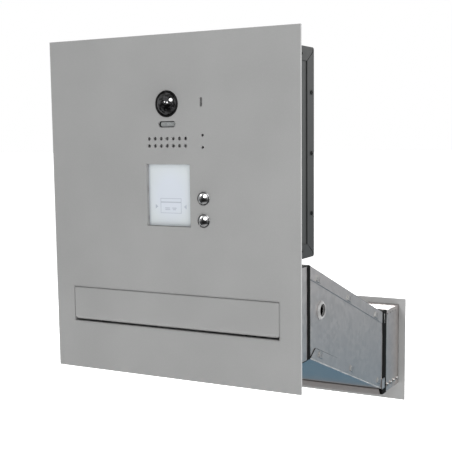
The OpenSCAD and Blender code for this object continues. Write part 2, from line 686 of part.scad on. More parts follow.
// Plastic case of the intercom, open to the rear, with ears for the plate's studs
module module_housing() color([0.14, 0.14, 0.15]) difference() {
    union() {
        block([case_left, back_y, case_bottom], [case_right, case_back_y, case_top]);
        for (x = ear_x, z = ear_z) block([x - 6, back_y, z - 6], [x + 6, back_y + 3, z + 6]);
    }
    difference() {
        block([case_left + case_wall, case_floor_y, case_bottom + case_wall],
            [case_right - case_wall, case_back_y + 1, case_top - case_wall]);
        for (x = boss_x, z = boss_z) bar_y(x, z, 4, case_floor_y, board_y);
    }
    for (x = boss_x, z = boss_z) bar_y(x, z, 1.25, board_y - 9, board_y + 1);
    stud_holes(case_studs);
    bar_y(module_x, camera_z, 21.3, back_y - 1, 1);
    stadium_y(module_x, light_z, light_block_w + 0.4, light_block_h + 0.4, back_y - 1, 1);
    sound_holes(sound_r + 0.3, back_y - 1, 1);
    stadium_y(mic_x, mic_z, mic_w + 0.6, mic_h + 0.6, back_y - 1, 1);
    for (z = status_z) bar_y(status_x, z, status_r + 0.1, back_y - 1, 1);
    block([module_x - window_w / 2 - pane_margin, back_y - 1, window_z - window_h / 2 - pane_margin],
        [module_x + window_w / 2 + pane_margin, 1, window_z + window_h / 2 + pane_margin]);
    for (z = button_z) bar_y(button_x, z, button_barrel_r + 0.15, back_y - 1, 1);
}

terminal_w = 44;
terminal_x = 12;
terminal_z = 66;
module module_rear_cover() color([0.16, 0.16, 0.17]) difference() {
    union() {
        block([case_left, case_back_y, case_bottom], [case_right, cover_back_y, case_top]);
        for (x = boss_x, z = boss_z) bar_y(x, z, 4, board_y + board_t + 2.5, case_back_y + eps);
    }
    for (x = boss_x, z = boss_z) bar_y(x, z, 1.7, board_y, cover_back_y + 1);
    block([terminal_x - terminal_w / 2 - 1, case_back_y - 1, terminal_z - 8],
        [terminal_x + terminal_w / 2 + 1, cover_back_y + 1, terminal_z + 8]);
    for (i = [0:6]) stadium_y(terminal_x, -8 + 6 * i, 50, 2.2, case_back_y - 1, cover_back_y + 1);
}

// Four long screws hold cover, board and case together
module module_screws() color([0.75, 0.75, 0.72])
    for (x = boss_x, z = boss_z) screw_y(x, z, 1.2, 2.8, 1.8, cover_back_y, cover_back_y - board_y + 7);

dome_r = 18.4;
dome_y = 4.4;
dome_rim_r = 15.5;
dome_t = 1.5;
dome_flange_y = -0.2;
module camera_dome() color([0.05, 0.05, 0.06, 0.5]) {
    difference() {
        dome_body(dome_r, dome_rim_r, dome_flange_y + eps);
        dome_body(dome_r - dome_t, dome_rim_r - dome_t, 2);
    }
    difference() {
        bar_y(module_x, camera_z, 18, dome_flange_y, dome_flange_y + dome_t);
        bar_y(module_x, camera_z, dome_rim_r - dome_t, -1, 2);
    }
}
module dome_body(r, rim_r, y1) intersection() {
    translate([module_x, dome_y, camera_z]) sphere(r = r, $fn = 96);
    bar_y(module_x, camera_z, rim_r, -20, y1);
}

// Black ring round the dome, with a rear cup that carries the camera board
module camera_bezel() color([0.06, 0.06, 0.06]) translate([module_x, 0, camera_z]) rotate([-90, 0, 0])
    difference() {
        rotate_extrude() polygon([[15.7, -5.9], [17, -6.3], [18.1, -5.6], [18.1, back_y], [21, back_y],
            [21, 8], [18.3, 8], [18.3, -0.3], [15.7, -0.3]]);
    }

module camera_lens() color([0.03, 0.03, 0.05]) translate([module_x, 0, camera_z]) rotate([-90, 0, 0])
    rotate_extrude() polygon([[0, -8], [2.5, -7.6], [4.4, -6.6], [4.8, -6.9], [6.4, -7.4], [7, -6.9],
        [7, -1], [9, 0.5], [9, 8], [0, 8]]);

module camera_board() color([0.05, 0.25, 0.12]) {
    block([module_x - 17, 8, camera_z - 17], [module_x + 17, 9.6, camera_z + 17]);
    block([module_x - 6, 9.6, camera_z - 6], [module_x + 6, 11.2, camera_z + 6]);
    block([module_x - 15, 9.6, camera_z - 15], [module_x - 5, 12.6, camera_z - 10.5]);
}

module light_diffuser() color([0.9, 0.92, 0.92, 0.7]) {
    stadium_y(module_x, light_z, light_block_w, light_block_h, -3.2, case_floor_y + eps);
    stadium_y(module_x, light_z, light_w + 3, light_h + 3, case_floor_y + 0.02, 0.5);
}

led_pitch = 7;
led_w = 3.5;
module light_board() color([0.05, 0.25, 0.12]) {
    block([module_x - 15, 2, light_z - 5], [module_x + 15, 3.2, light_z + 5]);
    for (i = [-1.5:1:1.5]) translate([module_x + led_pitch * i, 0, light_z])
        block([-led_w / 2, 0.6, -led_w / 2], [led_w / 2, 2, led_w / 2]);
}

module speaker_mesh() color([0.1, 0.1, 0.1])
    block([module_x - 34, 0, sound_z - 10], [module_x + 34, 0.5, sound_z + 10]);

module speaker() color([0.15, 0.15, 0.15]) translate([module_x, 0, sound_z]) rotate([-90, 0, 0])
    rotate_extrude() polygon([[0, 3], [5, 3.4], [6.5, 4.6], [12, 2.2], [15.5, 1.4], [16.5, 1], [18, 1],
        [18, 3], [12, 8], [12, 13], [0, 13]]);

// Rubber boot and insert that lead sound from the ribbed slot to the microphone
module microphone() color([0.1, 0.1, 0.1]) {
    difference() {
        stadium_y(mic_x, mic_z, mic_w - 0.3, mic_h - 0.3, -4.4, 1);
        for (i = [-2:2]) translate([mic_x, 0, mic_z + 2.2 * i]) block([-3, -5, -0.5], [3, -3.2, 0.5]);
    }
    bar_y(mic_x, mic_z, 7, 0.02, 2.5);
    bar_y(mic_x, mic_z, 5, 2, board_y - 0.1);
}

module status_light_pipes() color([0.75, 0.78, 0.75])
    for (z = status_z) {
        bar_y(status_x, z, status_r - 0.15, -1.6, board_y - 0.2);
        bar_y(status_x, z, 3.4, 0.02, 1.2);
    }

module window_gasket() color([0.3, 0.31, 0.32]) {
    g = pane_margin - 0.2;
    difference() {
        block([module_x - window_w / 2 - g, back_y, window_z - window_h / 2 - g],
            [module_x + window_w / 2 + g, pane_front_y, window_z + window_h / 2 + g]);
        block([module_x - window_w / 2 + 0.6, back_y - 1, window_z - window_h / 2 + 0.6],
            [module_x + window_w / 2 - 0.6, 1, window_z + window_h / 2 - 0.6]);
    }
}

module reader_window() color([0.82, 0.85, 0.9]) {
    g = pane_margin - 0.2;
    block([module_x - window_w / 2 - g, pane_front_y, window_z - window_h / 2 - g],
        [module_x + window_w / 2 + g, pane_front_y + pane_t, window_z + window_h / 2 + g]);
}

backlight_y = 2.4;
module window_backlight() color([0.95, 0.95, 0.97]) {
    block([module_x - 34, backlight_y, window_z - 42], [module_x + 34, backlight_y + 2.6, window_z + 42]);
}

module reader_board() color([0.05, 0.25, 0.12]) {
    block([module_x - 35.5, 6, window_z - 44], [module_x + 35.5, 7.6, window_z + 44]);
    block([module_x - 8, 7.6, window_z - 6], [module_x + 4, 9, window_z + 6]);
    block([module_x - 30, 7.6, window_z + 34], [module_x - 16, 11, window_z + 39]);
}

// Domed cap on a stem; the stem's snap head keeps the cap in its housing
cap_edge_y = front_y - 1.6;
cap_apex_y = cap_edge_y - 4;
cap_sphere_r = (button_cap_r * button_cap_r + 16) / 8;
stem_end_y = 7.2;
module call_button(z) translate([button_x, 0, z]) rotate([-90, 0, 0]) {
    difference() {
        union() {
            intersection() {
                translate([0, 0, cap_apex_y + cap_sphere_r]) sphere(r = cap_sphere_r, $fn = 96);
                translate([0, 0, cap_apex_y - 1]) cylinder(h = 20, r = button_cap_r);
                translate([0, 0, cap_apex_y - 1]) cylinder(h = 5 + eps, r = button_cap_r + 1);
            }
            translate([0, 0, cap_edge_y]) cylinder(h = 4.6, r = button_cap_r);
        }
        translate([0, 0, cap_edge_y]) cylinder(h = 6, r = button_cap_r - 1.2);
    }
    snap_y = button_guide_y + 2.2;
    translate([0, 0, cap_edge_y - 1]) cylinder(h = stem_end_y - cap_edge_y + 1, r = button_stem_r);
    translate([0, 0, snap_y]) cylinder(h = stem_end_y - snap_y, r = button_stem_r + 0.7);
}
module call_button_upper() color([0.85, 0.85, 0.86]) call_button(button_z[0]);
module call_button_lower() color([0.85, 0.85, 0.86]) call_button(button_z[1]);

module button_housings() color([0.8, 0.8, 0.82])
    for (z = button_z) translate([button_x, 0, z]) rotate([-90, 0, 0]) rotate_extrude()
        polygon([[button_bore_r, front_y - 1.2], [button_bore_r + 0.6, front_y - 1.6],
            [button_rim_r - 0.4, front_y - 1], [button_rim_r, front_y], [button_barrel_r, front_y],
            [button_barrel_r, 10], [7, 10], [7, button_guide_y + 2],
            [button_stem_r + button_stem_fit, button_guide_y + 2],
            [button_stem_r + button_stem_fit, button_guide_y], [button_bore_r, button_guide_y]]);

module button_nuts() color([0.75, 0.75, 0.72])
    for (z = button_z) hex_nut_y(button_x, z, 19, button_barrel_r + 0.05, 0.02, 3.2);

// Return spring between the cap and the guide wall
spring_r = 4.6;
spring_wire = 0.45;
spring_turns = 5;
spring_y0 = cap_edge_y + 0.1 + spring_wire;
spring_y1 = button_guide_y - 0.1 - spring_wire;
spring_sides = 6;
spring_steps = 12 * spring_turns;
function spring_point(i, j, z) =
    let (a = 360 * spring_turns * i / spring_steps, b = 360 * j / spring_sides,
        r = spring_r + spring_wire * cos(b),
        y = spring_y0 + (spring_y1 - spring_y0) * i / spring_steps + spring_wire * sin(b))
    [button_x + r * cos(a), y, z + r * sin(a)];
module button_spring(z) {
    n = spring_sides;
    points = [for (i = [0:spring_steps], j = [0:n - 1]) spring_point(i, j, z)];
    walls = [for (i = [0:spring_steps - 1], j = [0:n - 1])
        [i * n + j, i * n + (j + 1) % n, (i + 1) * n + (j + 1) % n, (i + 1) * n + j]];
    start = [[for (j = [n - 1:-1:0]) j]];
    finish = [[for (j = [0:n - 1]) spring_steps * n + j]];
    polyhedron(points, concat(walls, start, finish), convexity = 6);
}
module button_spring_upper() color([0.7, 0.7, 0.7]) button_spring(button_z[0]);
module button_spring_lower() color([0.7, 0.7, 0.7]) button_spring(button_z[1]);

module button_switches() color([0.1, 0.1, 0.1])
    for (z = button_z) {
        block([button_x - 6, 11.2, z - 6], [button_x + 6, board_y, z + 6]);
        bar_y(button_x, z, 1.8, stem_end_y + button_travel + 0.5, 11.2 + eps);
    }

module main_board() color([0.05, 0.28, 0.14]) {
    difference() {
        block([case_left + 3, board_y, case_bottom + 3], [case_right - 3, board_y + board_t, case_top - 3]);
        for (x = boss_x, z = boss_z) bar_y(x, z, 1.7, board_y - 1, board_y + 3);
    }
    y0 = board_y + board_t;
    block([-30, y0, 100], [-12, y0 + 1.8, 118]);
    block([10, y0, 20], [24, y0 + 1.8, 34]);
    block([-32, y0, -14], [-18, y0 + 8, -2]);
    for (i = [0:2]) bar_y(-30 + 12 * i, 84, 4, y0, y0 + 9);
    for (i = [0:3]) block([30, y0, 96 + 12 * i], [38, y0 + 2.4, 102 + 12 * i]);
}

terminal_ways = 8;
module terminal_block() color([0.15, 0.45, 0.25]) difference() {
    y0 = board_y + board_t;
    pitch = terminal_w / terminal_ways;
    block([terminal_x - terminal_w / 2, y0, terminal_z - 6],
        [terminal_x + terminal_w / 2, cover_back_y + 1, terminal_z + 6]);
    for (i = [0:terminal_ways - 1]) {
        x = terminal_x + (i - (terminal_ways - 1) / 2) * pitch;
        bar_y(x, terminal_z + 2.4, 1.6, cover_back_y - 3, cover_back_y + 2);
        block([x - 1.6, cover_back_y - 8, terminal_z - 7], [x + 1.6, cover_back_y - 4, terminal_z - 2]);
    }
}

front_plate();
wall_gasket();
plate_studs();
stud_nuts();
slot_frame();
letter_flap();
flap_hinge_rod();
flap_bumpers();
front_collar();
front_seal();
letter_throat();
duct_side_left();
duct_side_right();
port_grommets();
duct_top_panel();
duct_bottom_panel();
rear_seal();
rear_box();
rear_plate();
rear_door();
door_hinge_frame_leaves();
door_hinge_door_leaves();
door_hinge_pins();
door_lock_body();
door_lock_nut();
door_lock_plug();
door_lock_cam();
door_lock_cam_screw();
lock_strike();
backbox_frame();
backbox_end_caps();
backbox_rear_cover();
backbox_screws();
cable_grommet();
module_housing();
module_rear_cover();
module_screws();
camera_dome();
camera_bezel();
camera_lens();
camera_board();
light_diffuser();
light_board();
speaker_mesh();
speaker();
microphone();
status_light_pipes();
window_gasket();
reader_window();
window_backlight();
reader_board();
call_button_upper();
call_button_lower();
button_housings();
button_nuts();
button_spring_upper();
button_spring_lower();
button_switches();
main_board();
terminal_block();
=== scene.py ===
import json
import math
import bmesh
import bpy
from mathutils import Matrix, Vector

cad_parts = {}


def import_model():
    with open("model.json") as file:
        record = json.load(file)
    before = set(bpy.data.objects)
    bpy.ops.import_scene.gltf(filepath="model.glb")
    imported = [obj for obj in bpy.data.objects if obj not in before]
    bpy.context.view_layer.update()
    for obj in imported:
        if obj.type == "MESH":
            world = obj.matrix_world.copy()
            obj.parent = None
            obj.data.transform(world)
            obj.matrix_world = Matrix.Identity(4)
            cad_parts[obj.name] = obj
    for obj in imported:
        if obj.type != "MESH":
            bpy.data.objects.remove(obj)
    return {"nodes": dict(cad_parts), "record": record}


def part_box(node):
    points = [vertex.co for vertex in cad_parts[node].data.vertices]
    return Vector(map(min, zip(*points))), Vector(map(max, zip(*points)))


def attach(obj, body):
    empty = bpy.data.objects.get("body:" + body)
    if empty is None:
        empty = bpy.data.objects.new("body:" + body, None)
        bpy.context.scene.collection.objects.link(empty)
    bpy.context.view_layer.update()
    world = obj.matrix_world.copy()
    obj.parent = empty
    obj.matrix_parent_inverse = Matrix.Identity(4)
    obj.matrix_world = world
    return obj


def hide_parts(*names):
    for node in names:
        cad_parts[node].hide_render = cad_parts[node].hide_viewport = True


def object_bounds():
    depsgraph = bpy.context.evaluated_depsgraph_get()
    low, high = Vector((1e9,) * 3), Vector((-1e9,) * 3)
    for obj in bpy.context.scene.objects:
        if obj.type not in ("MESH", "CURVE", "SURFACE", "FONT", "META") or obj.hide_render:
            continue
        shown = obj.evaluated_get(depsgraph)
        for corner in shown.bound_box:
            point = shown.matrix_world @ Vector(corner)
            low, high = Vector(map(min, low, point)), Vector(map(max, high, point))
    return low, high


# Looks of the through-wall door station. Lengths are in metres in the row frame:
# +X to a visitor's right, +Y into the wall, +Z up.
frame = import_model()
NODES = frame["nodes"]
cad_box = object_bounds()
MM = 0.001
HOUSING = "housing"
SHARP_ANGLE = math.radians(38)


# ---------------------------------------------------------------- finishes

class Nodes:
    """Short ways to build a node tree."""

    def __init__(self, tree):
        self.tree = tree

    def node(self, kind, **settings):
        """Adds a node with its settings."""
        made = self.tree.nodes.new(kind)
        for key, value in settings.items():
            setattr(made, key, value)
        return made

    def link(self, source, target):
        self.tree.links.new(source, target)

    def span(self, value, low, high, frm=(0.3, 0.7)):
        """Maps value from the frm range to low..high."""
        mapped = self.node("ShaderNodeMapRange")
        mapped.inputs["From Min"].default_value, mapped.inputs["From Max"].default_value = frm
        mapped.inputs["To Min"].default_value, mapped.inputs["To Max"].default_value = low, high
        self.link(value, mapped.inputs["Value"])
        return mapped.outputs["Result"]

    def blend(self, factor, one, two, mode="MIX"):
        """Mixes two colours, each a tuple or another output."""
        mix = self.node("ShaderNodeMix", data_type="RGBA", blend_type=mode)
        for source, socket in ((factor, mix.inputs[0]), (one, mix.inputs[6]), (two, mix.inputs[7])):
            if isinstance(source, (tuple, list)):
                socket.default_value = (*source, 1.0)
            elif isinstance(source, float):
                socket.default_value = source
            else:
                self.link(source, socket)
        return mix.outputs[2]

    def ramp(self, value, stops):
        """Colour of a value from -1 to 1, by (value, tone) stops."""
        tones = self.node("ShaderNodeValToRGB")
        while len(tones.color_ramp.elements) < len(stops):
            tones.color_ramp.elements.new(0.5)
        for element, (at, tone) in zip(tones.color_ramp.elements, stops):
            element.position = (at + 1) / 2
            element.color = (*tone, 1)
        self.link(self.span(value, 0.0, 1.0, (-1.0, 1.0)), tones.inputs["Fac"])
        return tones.outputs["Color"]


class Finish(Nodes):
    """A Principled material whose colour, roughness and relief come from textures in the row frame."""

    def __init__(self, name, **sockets):
        self.mat = bpy.data.materials.new(name)
        self.mat.use_nodes = True
        super().__init__(self.mat.node_tree)
        self.shader = self.tree.nodes["Principled BSDF"]
        self.where = self.node("ShaderNodeTexCoord").outputs["Object"]
        self.heights = []
        for socket, value in sockets.items():
            self.shader.inputs[socket.replace("_", " ")].default_value = value

    def stretched(self, stretch):
        """Coordinates squeezed by stretch, so a texture runs long along an axis where stretch is small."""
        mapping = self.node("ShaderNodeMapping")
        mapping.inputs["Scale"].default_value = stretch
        self.link(self.where, mapping.inputs["Vector"])
        return mapping.outputs["Vector"]

    def noise(self, size, detail=3.0, stretch=(1, 1, 1), distortion=0.0):
        """Soft noise with features of about size metres."""
        texture = self.node("ShaderNodeTexNoise")
        texture.inputs["Scale"].default_value = 1 / size
        texture.inputs["Detail"].default_value = detail
        texture.inputs["Distortion"].default_value = distortion
        self.link(self.stretched(stretch), texture.inputs["Vector"])
        return texture.outputs["Fac"]

    def cells(self, size):
        """One random value per crystal, with uneven borders."""
        wobble = 0.35
        bend = self.node("ShaderNodeTexNoise")
        bend.inputs["Scale"].default_value = 1.6 / size
        self.link(self.where, bend.inputs["Vector"])
        push = self.node("ShaderNodeVectorMath", operation="MULTIPLY_ADD")
        push.inputs[1].default_value = (wobble * size,) * 3
        self.link(bend.outputs["Color"], push.inputs[0])
        self.link(self.where, push.inputs[2])
        texture = self.node("ShaderNodeTexVoronoi")
        texture.inputs["Scale"].default_value = 1 / size
        self.link(push.outputs["Vector"], texture.inputs["Vector"])
        split = self.node("ShaderNodeSeparateColor")
        self.link(texture.outputs["Color"], split.inputs["Color"])
        return split.outputs["Red"]

    def colour(self, output):
        self.link(output, self.shader.inputs["Base Color"])

    def rough(self, output):
        self.link(output, self.shader.inputs["Roughness"])

    def relief(self, output, depth, strength=1.0):
        """Adds bumps of a depth in metres, on top of the bumps before it."""
        bump = self.node("ShaderNodeBump")
        bump.inputs["Distance"].default_value = depth
        bump.inputs["Strength"].default_value = strength
        self.link(output, bump.inputs["Height"])
        if self.heights:
            self.link(self.heights[-1], bump.inputs["Normal"])
        self.heights.append(bump.outputs["Normal"])
        self.link(bump.outputs["Normal"], self.shader.inputs["Normal"])


def grey(value):
    """A neutral tone."""
    return (value, value, value)


def tint(tone, factor):
    """The tone made darker or lighter by factor, and never brighter than white."""
    return tuple(min(c * factor, 1) for c in tone)


def coat_finish(name, tone, rough, metallic, grain):
    """A fine-textured coat: faint cloudiness, powder grain and a few brighter flakes."""
    f = Finish(name, Metallic=metallic, Specular_IOR_Level=0.3)
    cloud = f.noise(0.11, 2.0)
    flake = f.noise(0.0006, 1.0)
    base = f.blend(f.span(cloud, 0.0, 1.0), tint(tone, 0.955), tint(tone, 1.04))
    f.colour(f.blend(f.span(flake, 0.0, 0.22, (0.55, 0.75)), base, tint(tone, 1.5)))
    f.rough(f.span(f.noise(0.02, 3.0), rough - 0.035, rough + 0.035))
    f.relief(f.noise(grain, 2.0), grain * 0.05, 0.5)
    return f


def galvanised_finish(name, tone, shift):
    """Hot-dip zinc: crystals a few millimetres across, rolling streaks and pale handling marks."""
    f = Finish(name, Metallic=0.95, Specular_IOR_Level=0.5)
    crystal = f.cells(0.0065)
    small = f.cells(0.0026)
    cloud = f.noise(0.07, 3.0, distortion=0.6)
    streak = f.noise(0.004, 3.0, (1.0, 0.05, 1.0))
    base = f.blend(f.span(crystal, 0.0, 1.0, (0.0, 1.0)), tint(tone, 0.92), tint(tone, 1.07))
    base = f.blend(f.span(small, 0.0, 0.35, (0.0, 1.0)), base, tone)
    base = f.blend(f.span(cloud, 0.0, 0.55), base, shift)
    scuff = f.noise(0.012, 5.0, (1.0, 0.3, 1.0), 1.2)
    f.colour(f.blend(f.span(scuff, 0.0, 0.1, (0.6, 0.72)), base, (0.78, 0.8, 0.81)))
    worn = f.blend(f.span(crystal, 0.0, 1.0, (0.0, 1.0)), grey(0.36), grey(0.42))
    f.rough(f.blend(f.span(streak, 0.0, 0.15), worn, grey(0.48)))
    f.relief(f.noise(0.02, 2.0), 0.0004, 0.35)
    f.relief(crystal, 0.00002, 0.5)
    return f


def zinc_finish(name, tone, rough):
    """Bright plated hardware with faint colour bloom and small scratches."""
    f = Finish(name, Metallic=1.0)
    bloom = f.noise(0.006, 2.0)
    f.colour(f.blend(f.span(bloom, 0.0, 1.0), tone, tint(tone, 0.84)))
    f.rough(f.span(f.noise(0.0015, 4.0, (1, 0.2, 1)), rough, rough + 0.16))
    f.relief(f.noise(0.0009, 3.0), 0.00002, 0.4)
    return f


def chrome_finish(name):
    """Polished chrome with a trace of finger haze."""
    f = Finish(name, Metallic=1.0)
    haze = f.noise(0.004, 3.0)
    f.colour(f.blend(f.span(haze, 0.0, 1.0), (0.86, 0.86, 0.87), (0.78, 0.785, 0.79)))
    f.rough(f.span(haze, 0.045, 0.12))
    f.relief(f.noise(0.009, 1.0), 0.00003, 0.25)
    return f


def rubber_finish(name, tone, rough=0.62):
    """Matt rubber with bloom, mould grain and a little dust."""
    f = Finish(name, Specular_IOR_Level=0.12)
    bloom = f.noise(0.018, 4.0)
    dust = f.noise(0.0011, 2.0)
    base = f.blend(f.span(bloom, 0.0, 1.0), grey(tone * 0.75), grey(tone * 1.7))
    f.colour(f.blend(f.span(dust, 0.0, 0.04, (0.62, 0.8)), base, grey(0.12)))
    f.rough(f.span(bloom, rough - 0.12, rough + 0.1))
    f.relief(f.noise(0.0007, 2.0), 0.00006, 0.6)
    f.relief(f.noise(0.009, 1.0), 0.0003, 0.3)
    return f


def plastic_finish(name, tone, rough, grain=0.0008, **sockets):
    """Moulded plastic with a fine spark grain."""
    f = Finish(name, **sockets)
    cloud = f.noise(0.03, 2.0)
    f.colour(f.blend(f.span(cloud, 0.0, 1.0), tint(tone, 0.92), tint(tone, 1.08)))
    f.rough(f.span(f.noise(0.006, 3.0), rough - 0.05, rough + 0.06))
    f.relief(f.noise(grain, 2.0), grain * 0.06, 0.5)
    return f


def board_finish(name):
    """Green solder mask with copper tracks just showing through."""
    f = Finish(name, Coat_Weight=0.3, Coat_Roughness=0.2)
    tracks = f.node("ShaderNodeTexBrick")
    tracks.inputs["Scale"].default_value = 260
    tracks.inputs["Mortar Size"].default_value = 0.08
    tracks.inputs["Color1"].default_value = (0.015, 0.12, 0.05, 1)
    tracks.inputs["Color2"].default_value = (0.02, 0.16, 0.07, 1)
    tracks.inputs["Mortar"].default_value = (0.05, 0.24, 0.11, 1)
    turn = f.node("ShaderNodeMapping")
    turn.inputs["Rotation"].default_value = (math.pi / 2, 0, 0)
    f.link(f.where, turn.inputs["Vector"])
    f.link(turn.outputs["Vector"], tracks.inputs["Vector"])
    f.colour(f.blend(f.span(f.noise(0.012), 0.0, 0.5), tracks.outputs["Color"], (0.01, 0.09, 0.04)))
    f.rough(f.span(f.noise(0.003), 0.25, 0.4))
    return f


def pane_finish(name):
    """Satin white acrylic with a painted backlight glow that turns it bluer towards its centre, and painted
    shade along its left and top edges.
    """
    low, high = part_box("reader_window")
    centre = (low + high) / 2
    half = (high - low) / 2
    f = Finish(name, Coat_Weight=0.25, Coat_Roughness=0.12, Specular_IOR_Level=0.4)
    place = f.node("ShaderNodeMapping", vector_type="TEXTURE")
    place.inputs["Location"].default_value = centre
    place.inputs["Scale"].default_value = (half.x, 1.0, half.z)
    f.link(f.where, place.inputs["Vector"])
    # Painted glow: a spherical gradient from the pane's centre stands in for the backlight shining through
    # it.
    ball = f.node("ShaderNodeTexGradient", gradient_type="SPHERICAL")
    f.link(place.outputs["Vector"], ball.inputs["Vector"])
    painted_glow = f.span(ball.outputs["Fac"], 0.0, 1.0, (0.0, 0.55))
    base = f.blend(painted_glow, (0.73, 0.78, 0.80), (0.715, 0.765, 0.84))
    base = f.blend(f.span(f.noise(0.03, 2.0), 0.0, 0.25), base, (0.68, 0.73, 0.78))
    # Painted shade: darker towards the left and top edges, standing in for the shadow that the walls of the
    # recess cast on the pane.
    sides = f.node("ShaderNodeSeparateXYZ")
    f.link(place.outputs["Vector"], sides.inputs[0])
    base = f.blend(f.span(sides.outputs["X"], 0.75, 0.0, (-0.935, -0.83)), base, (0.36, 0.38, 0.43))
    f.colour(f.blend(f.span(sides.outputs["Z"], 0.0, 0.6, (0.89, 0.945)), base, (0.34, 0.36, 0.39)))
    f.rough(f.span(f.noise(0.01), 0.28, 0.36))
    f.relief(f.noise(0.0006), 0.00002, 0.3)
    return f


def dome_finish(name):
    """Smoked polycarbonate: nearly black and glossy, with faint cloudy smoke."""
    f = Finish(name, IOR=1.5, Specular_IOR_Level=0.5)
    smoke = f.noise(0.006, 3.0, distortion=0.8)
    f.colour(f.blend(f.span(smoke, 0.0, 1.0, (0.45, 0.6)), (0.001, 0.001, 0.001), (0.022, 0.022, 0.023)))
    f.rough(f.span(f.noise(0.004), 0.02, 0.05))
    return f


def diffuser_finish(name):
    """Clear acrylic with slight clouding."""
    f = Finish(name, Transmission_Weight=0.25, IOR=1.49, Specular_IOR_Level=0.6)
    f.colour(f.blend(f.span(f.noise(0.004, 3.0), 0.0, 1.0), (0.50, 0.52, 0.52), (0.68, 0.70, 0.70)))
    f.rough(f.span(f.noise(0.002), 0.12, 0.25))
    return f


def gauze_finish(name):
    """Fine woven steel gauze in front of the loudspeaker."""
    f = Finish(name, Metallic=0.35)
    wires = []
    for turn in ((0, 0, 0), (0, math.pi / 2, 0)):
        mapping = f.node("ShaderNodeMapping")
        mapping.inputs["Rotation"].default_value = turn
        f.link(f.where, mapping.inputs["Vector"])
        wave = f.node("ShaderNodeTexWave", bands_direction="X")
        wave.inputs["Scale"].default_value = 500
        f.link(mapping.outputs["Vector"], wave.inputs["Vector"])
        wires.append(wave.outputs["Fac"])
    weave = f.node("ShaderNodeMath", operation="MAXIMUM")
    f.link(wires[0], weave.inputs[0])
    f.link(wires[1], weave.inputs[1])
    f.colour(f.blend(weave.outputs[0], (0.35, 0.35, 0.35), (0.92, 0.92, 0.91)))
    f.rough(f.span(weave.outputs[0], 0.4, 0.6, (0.0, 1.0)))
    f.relief(weave.outputs[0], 0.0001, 0.6)
    return f


FINISHES = {
    "plate_grey": coat_finish("plate_grey", (0.380, 0.382, 0.380), 0.5, 0.04, 0.0007),
    "grey_powder_coat": coat_finish("grey_powder_coat", (0.041, 0.043, 0.0425), 0.5, 0.04, 0.0011),
    "dark_powder_coat": coat_finish("dark_powder_coat", (0.03, 0.0315, 0.0315), 0.46, 0.04, 0.0011),
    "galvanised_sheet": galvanised_finish("galvanised_sheet", (0.605, 0.565, 0.545), (0.555, 0.52, 0.515)),
    "zinc_hardware": zinc_finish("zinc_hardware", (0.66, 0.66, 0.64), 0.24),
    "chrome_trim": chrome_finish("chrome_trim"),
    "lock_brass": zinc_finish("lock_brass", (0.72, 0.56, 0.28), 0.26),
    "black_rubber": rubber_finish("black_rubber", 0.003, 0.8),
    "grey_rubber": rubber_finish("grey_rubber", 0.16),
    "pale_rubber": rubber_finish("pale_rubber", 0.27, 0.45),
    "black_plastic": plastic_finish("black_plastic", grey(0.009), 0.42, Specular_IOR_Level=0.3),
    "black_screws": zinc_finish("black_screws", grey(0.03), 0.35),
    "lens_black": plastic_finish("lens_black", (0.01, 0.01, 0.014), 0.1,
                                 Coat_Weight=1.0, Coat_Roughness=0.03),
    "smoked_dome": dome_finish("smoked_dome"),
    "clear_diffuser": diffuser_finish("clear_diffuser"),
    "frosted_window": pane_finish("frosted_window"),
    "window_print": plastic_finish("window_print", (0.50, 0.545, 0.62), 0.4),
    "white_plastic": plastic_finish("white_plastic", (0.8, 0.82, 0.85), 0.35),
    "circuit_board": board_finish("circuit_board"),
    "terminal_green": plastic_finish("terminal_green", (0.04, 0.26, 0.1), 0.42),
    "black_fabric": gauze_finish("black_fabric"),
}


def paint(obj, slot):
    """Gives a piece the one finish of its material slot."""
    obj.data.materials.clear()
    obj.data.materials.append(FINISHES[slot].mat)


for entry in frame["record"]["subparts"]:
    paint(NODES[entry["node"]], entry["material_slot"])


# ---------------------------------------------------------------- sheet edges on the CAD nodes

def soften(node, width):
    """Breaks the sharp edges of a CAD node with modifiers; its own mesh stays as packed."""
    obj = NODES[node]
    weld = obj.modifiers.new("weld", "WELD")
    weld.merge_threshold = 0.005 * MM
    planar = obj.modifiers.new("planar", "DECIMATE")
    planar.decimate_type = "DISSOLVE"
    planar.angle_limit = math.radians(0.5)
    bevel = obj.modifiers.new("edge", "BEVEL")
    bevel.width = width
    bevel.segments = 2
    bevel.limit_method = "ANGLE"
    bevel.angle_limit = SHARP_ANGLE
    bevel.use_clamp_overlap = True
    bevel.harden_normals = False
    shade = obj.modifiers.new("shade", "WEIGHTED_NORMAL")
    shade.weight = 80


EDGES = {
    0.35 * MM: ["front_plate", "rear_plate"],
    0.25 * MM: [
        "slot_frame", "front_collar", "letter_throat", "duct_side_left", "duct_side_right",
        "rear_box", "rear_door", "backbox_frame", "lock_strike", "door_lock_cam", "letter_flap",
        "window_gasket", "reader_window", "door_hinge_frame_leaves", "door_hinge_door_leaves",
    ],
    0.18 * MM: [
        "port_grommets", "duct_top_panel", "duct_bottom_panel", "stud_nuts", "door_lock_nut", "button_nuts",
    ],
    0.4 * MM: ["backbox_end_caps", "backbox_rear_cover", "module_housing", "module_rear_cover"],
    0.5 * MM: ["flap_bumpers", "wall_gasket"],
}
for edge_width, names in EDGES.items():
    for name in names:
        soften(name, edge_width)


# ---------------------------------------------------------------- mesh pieces

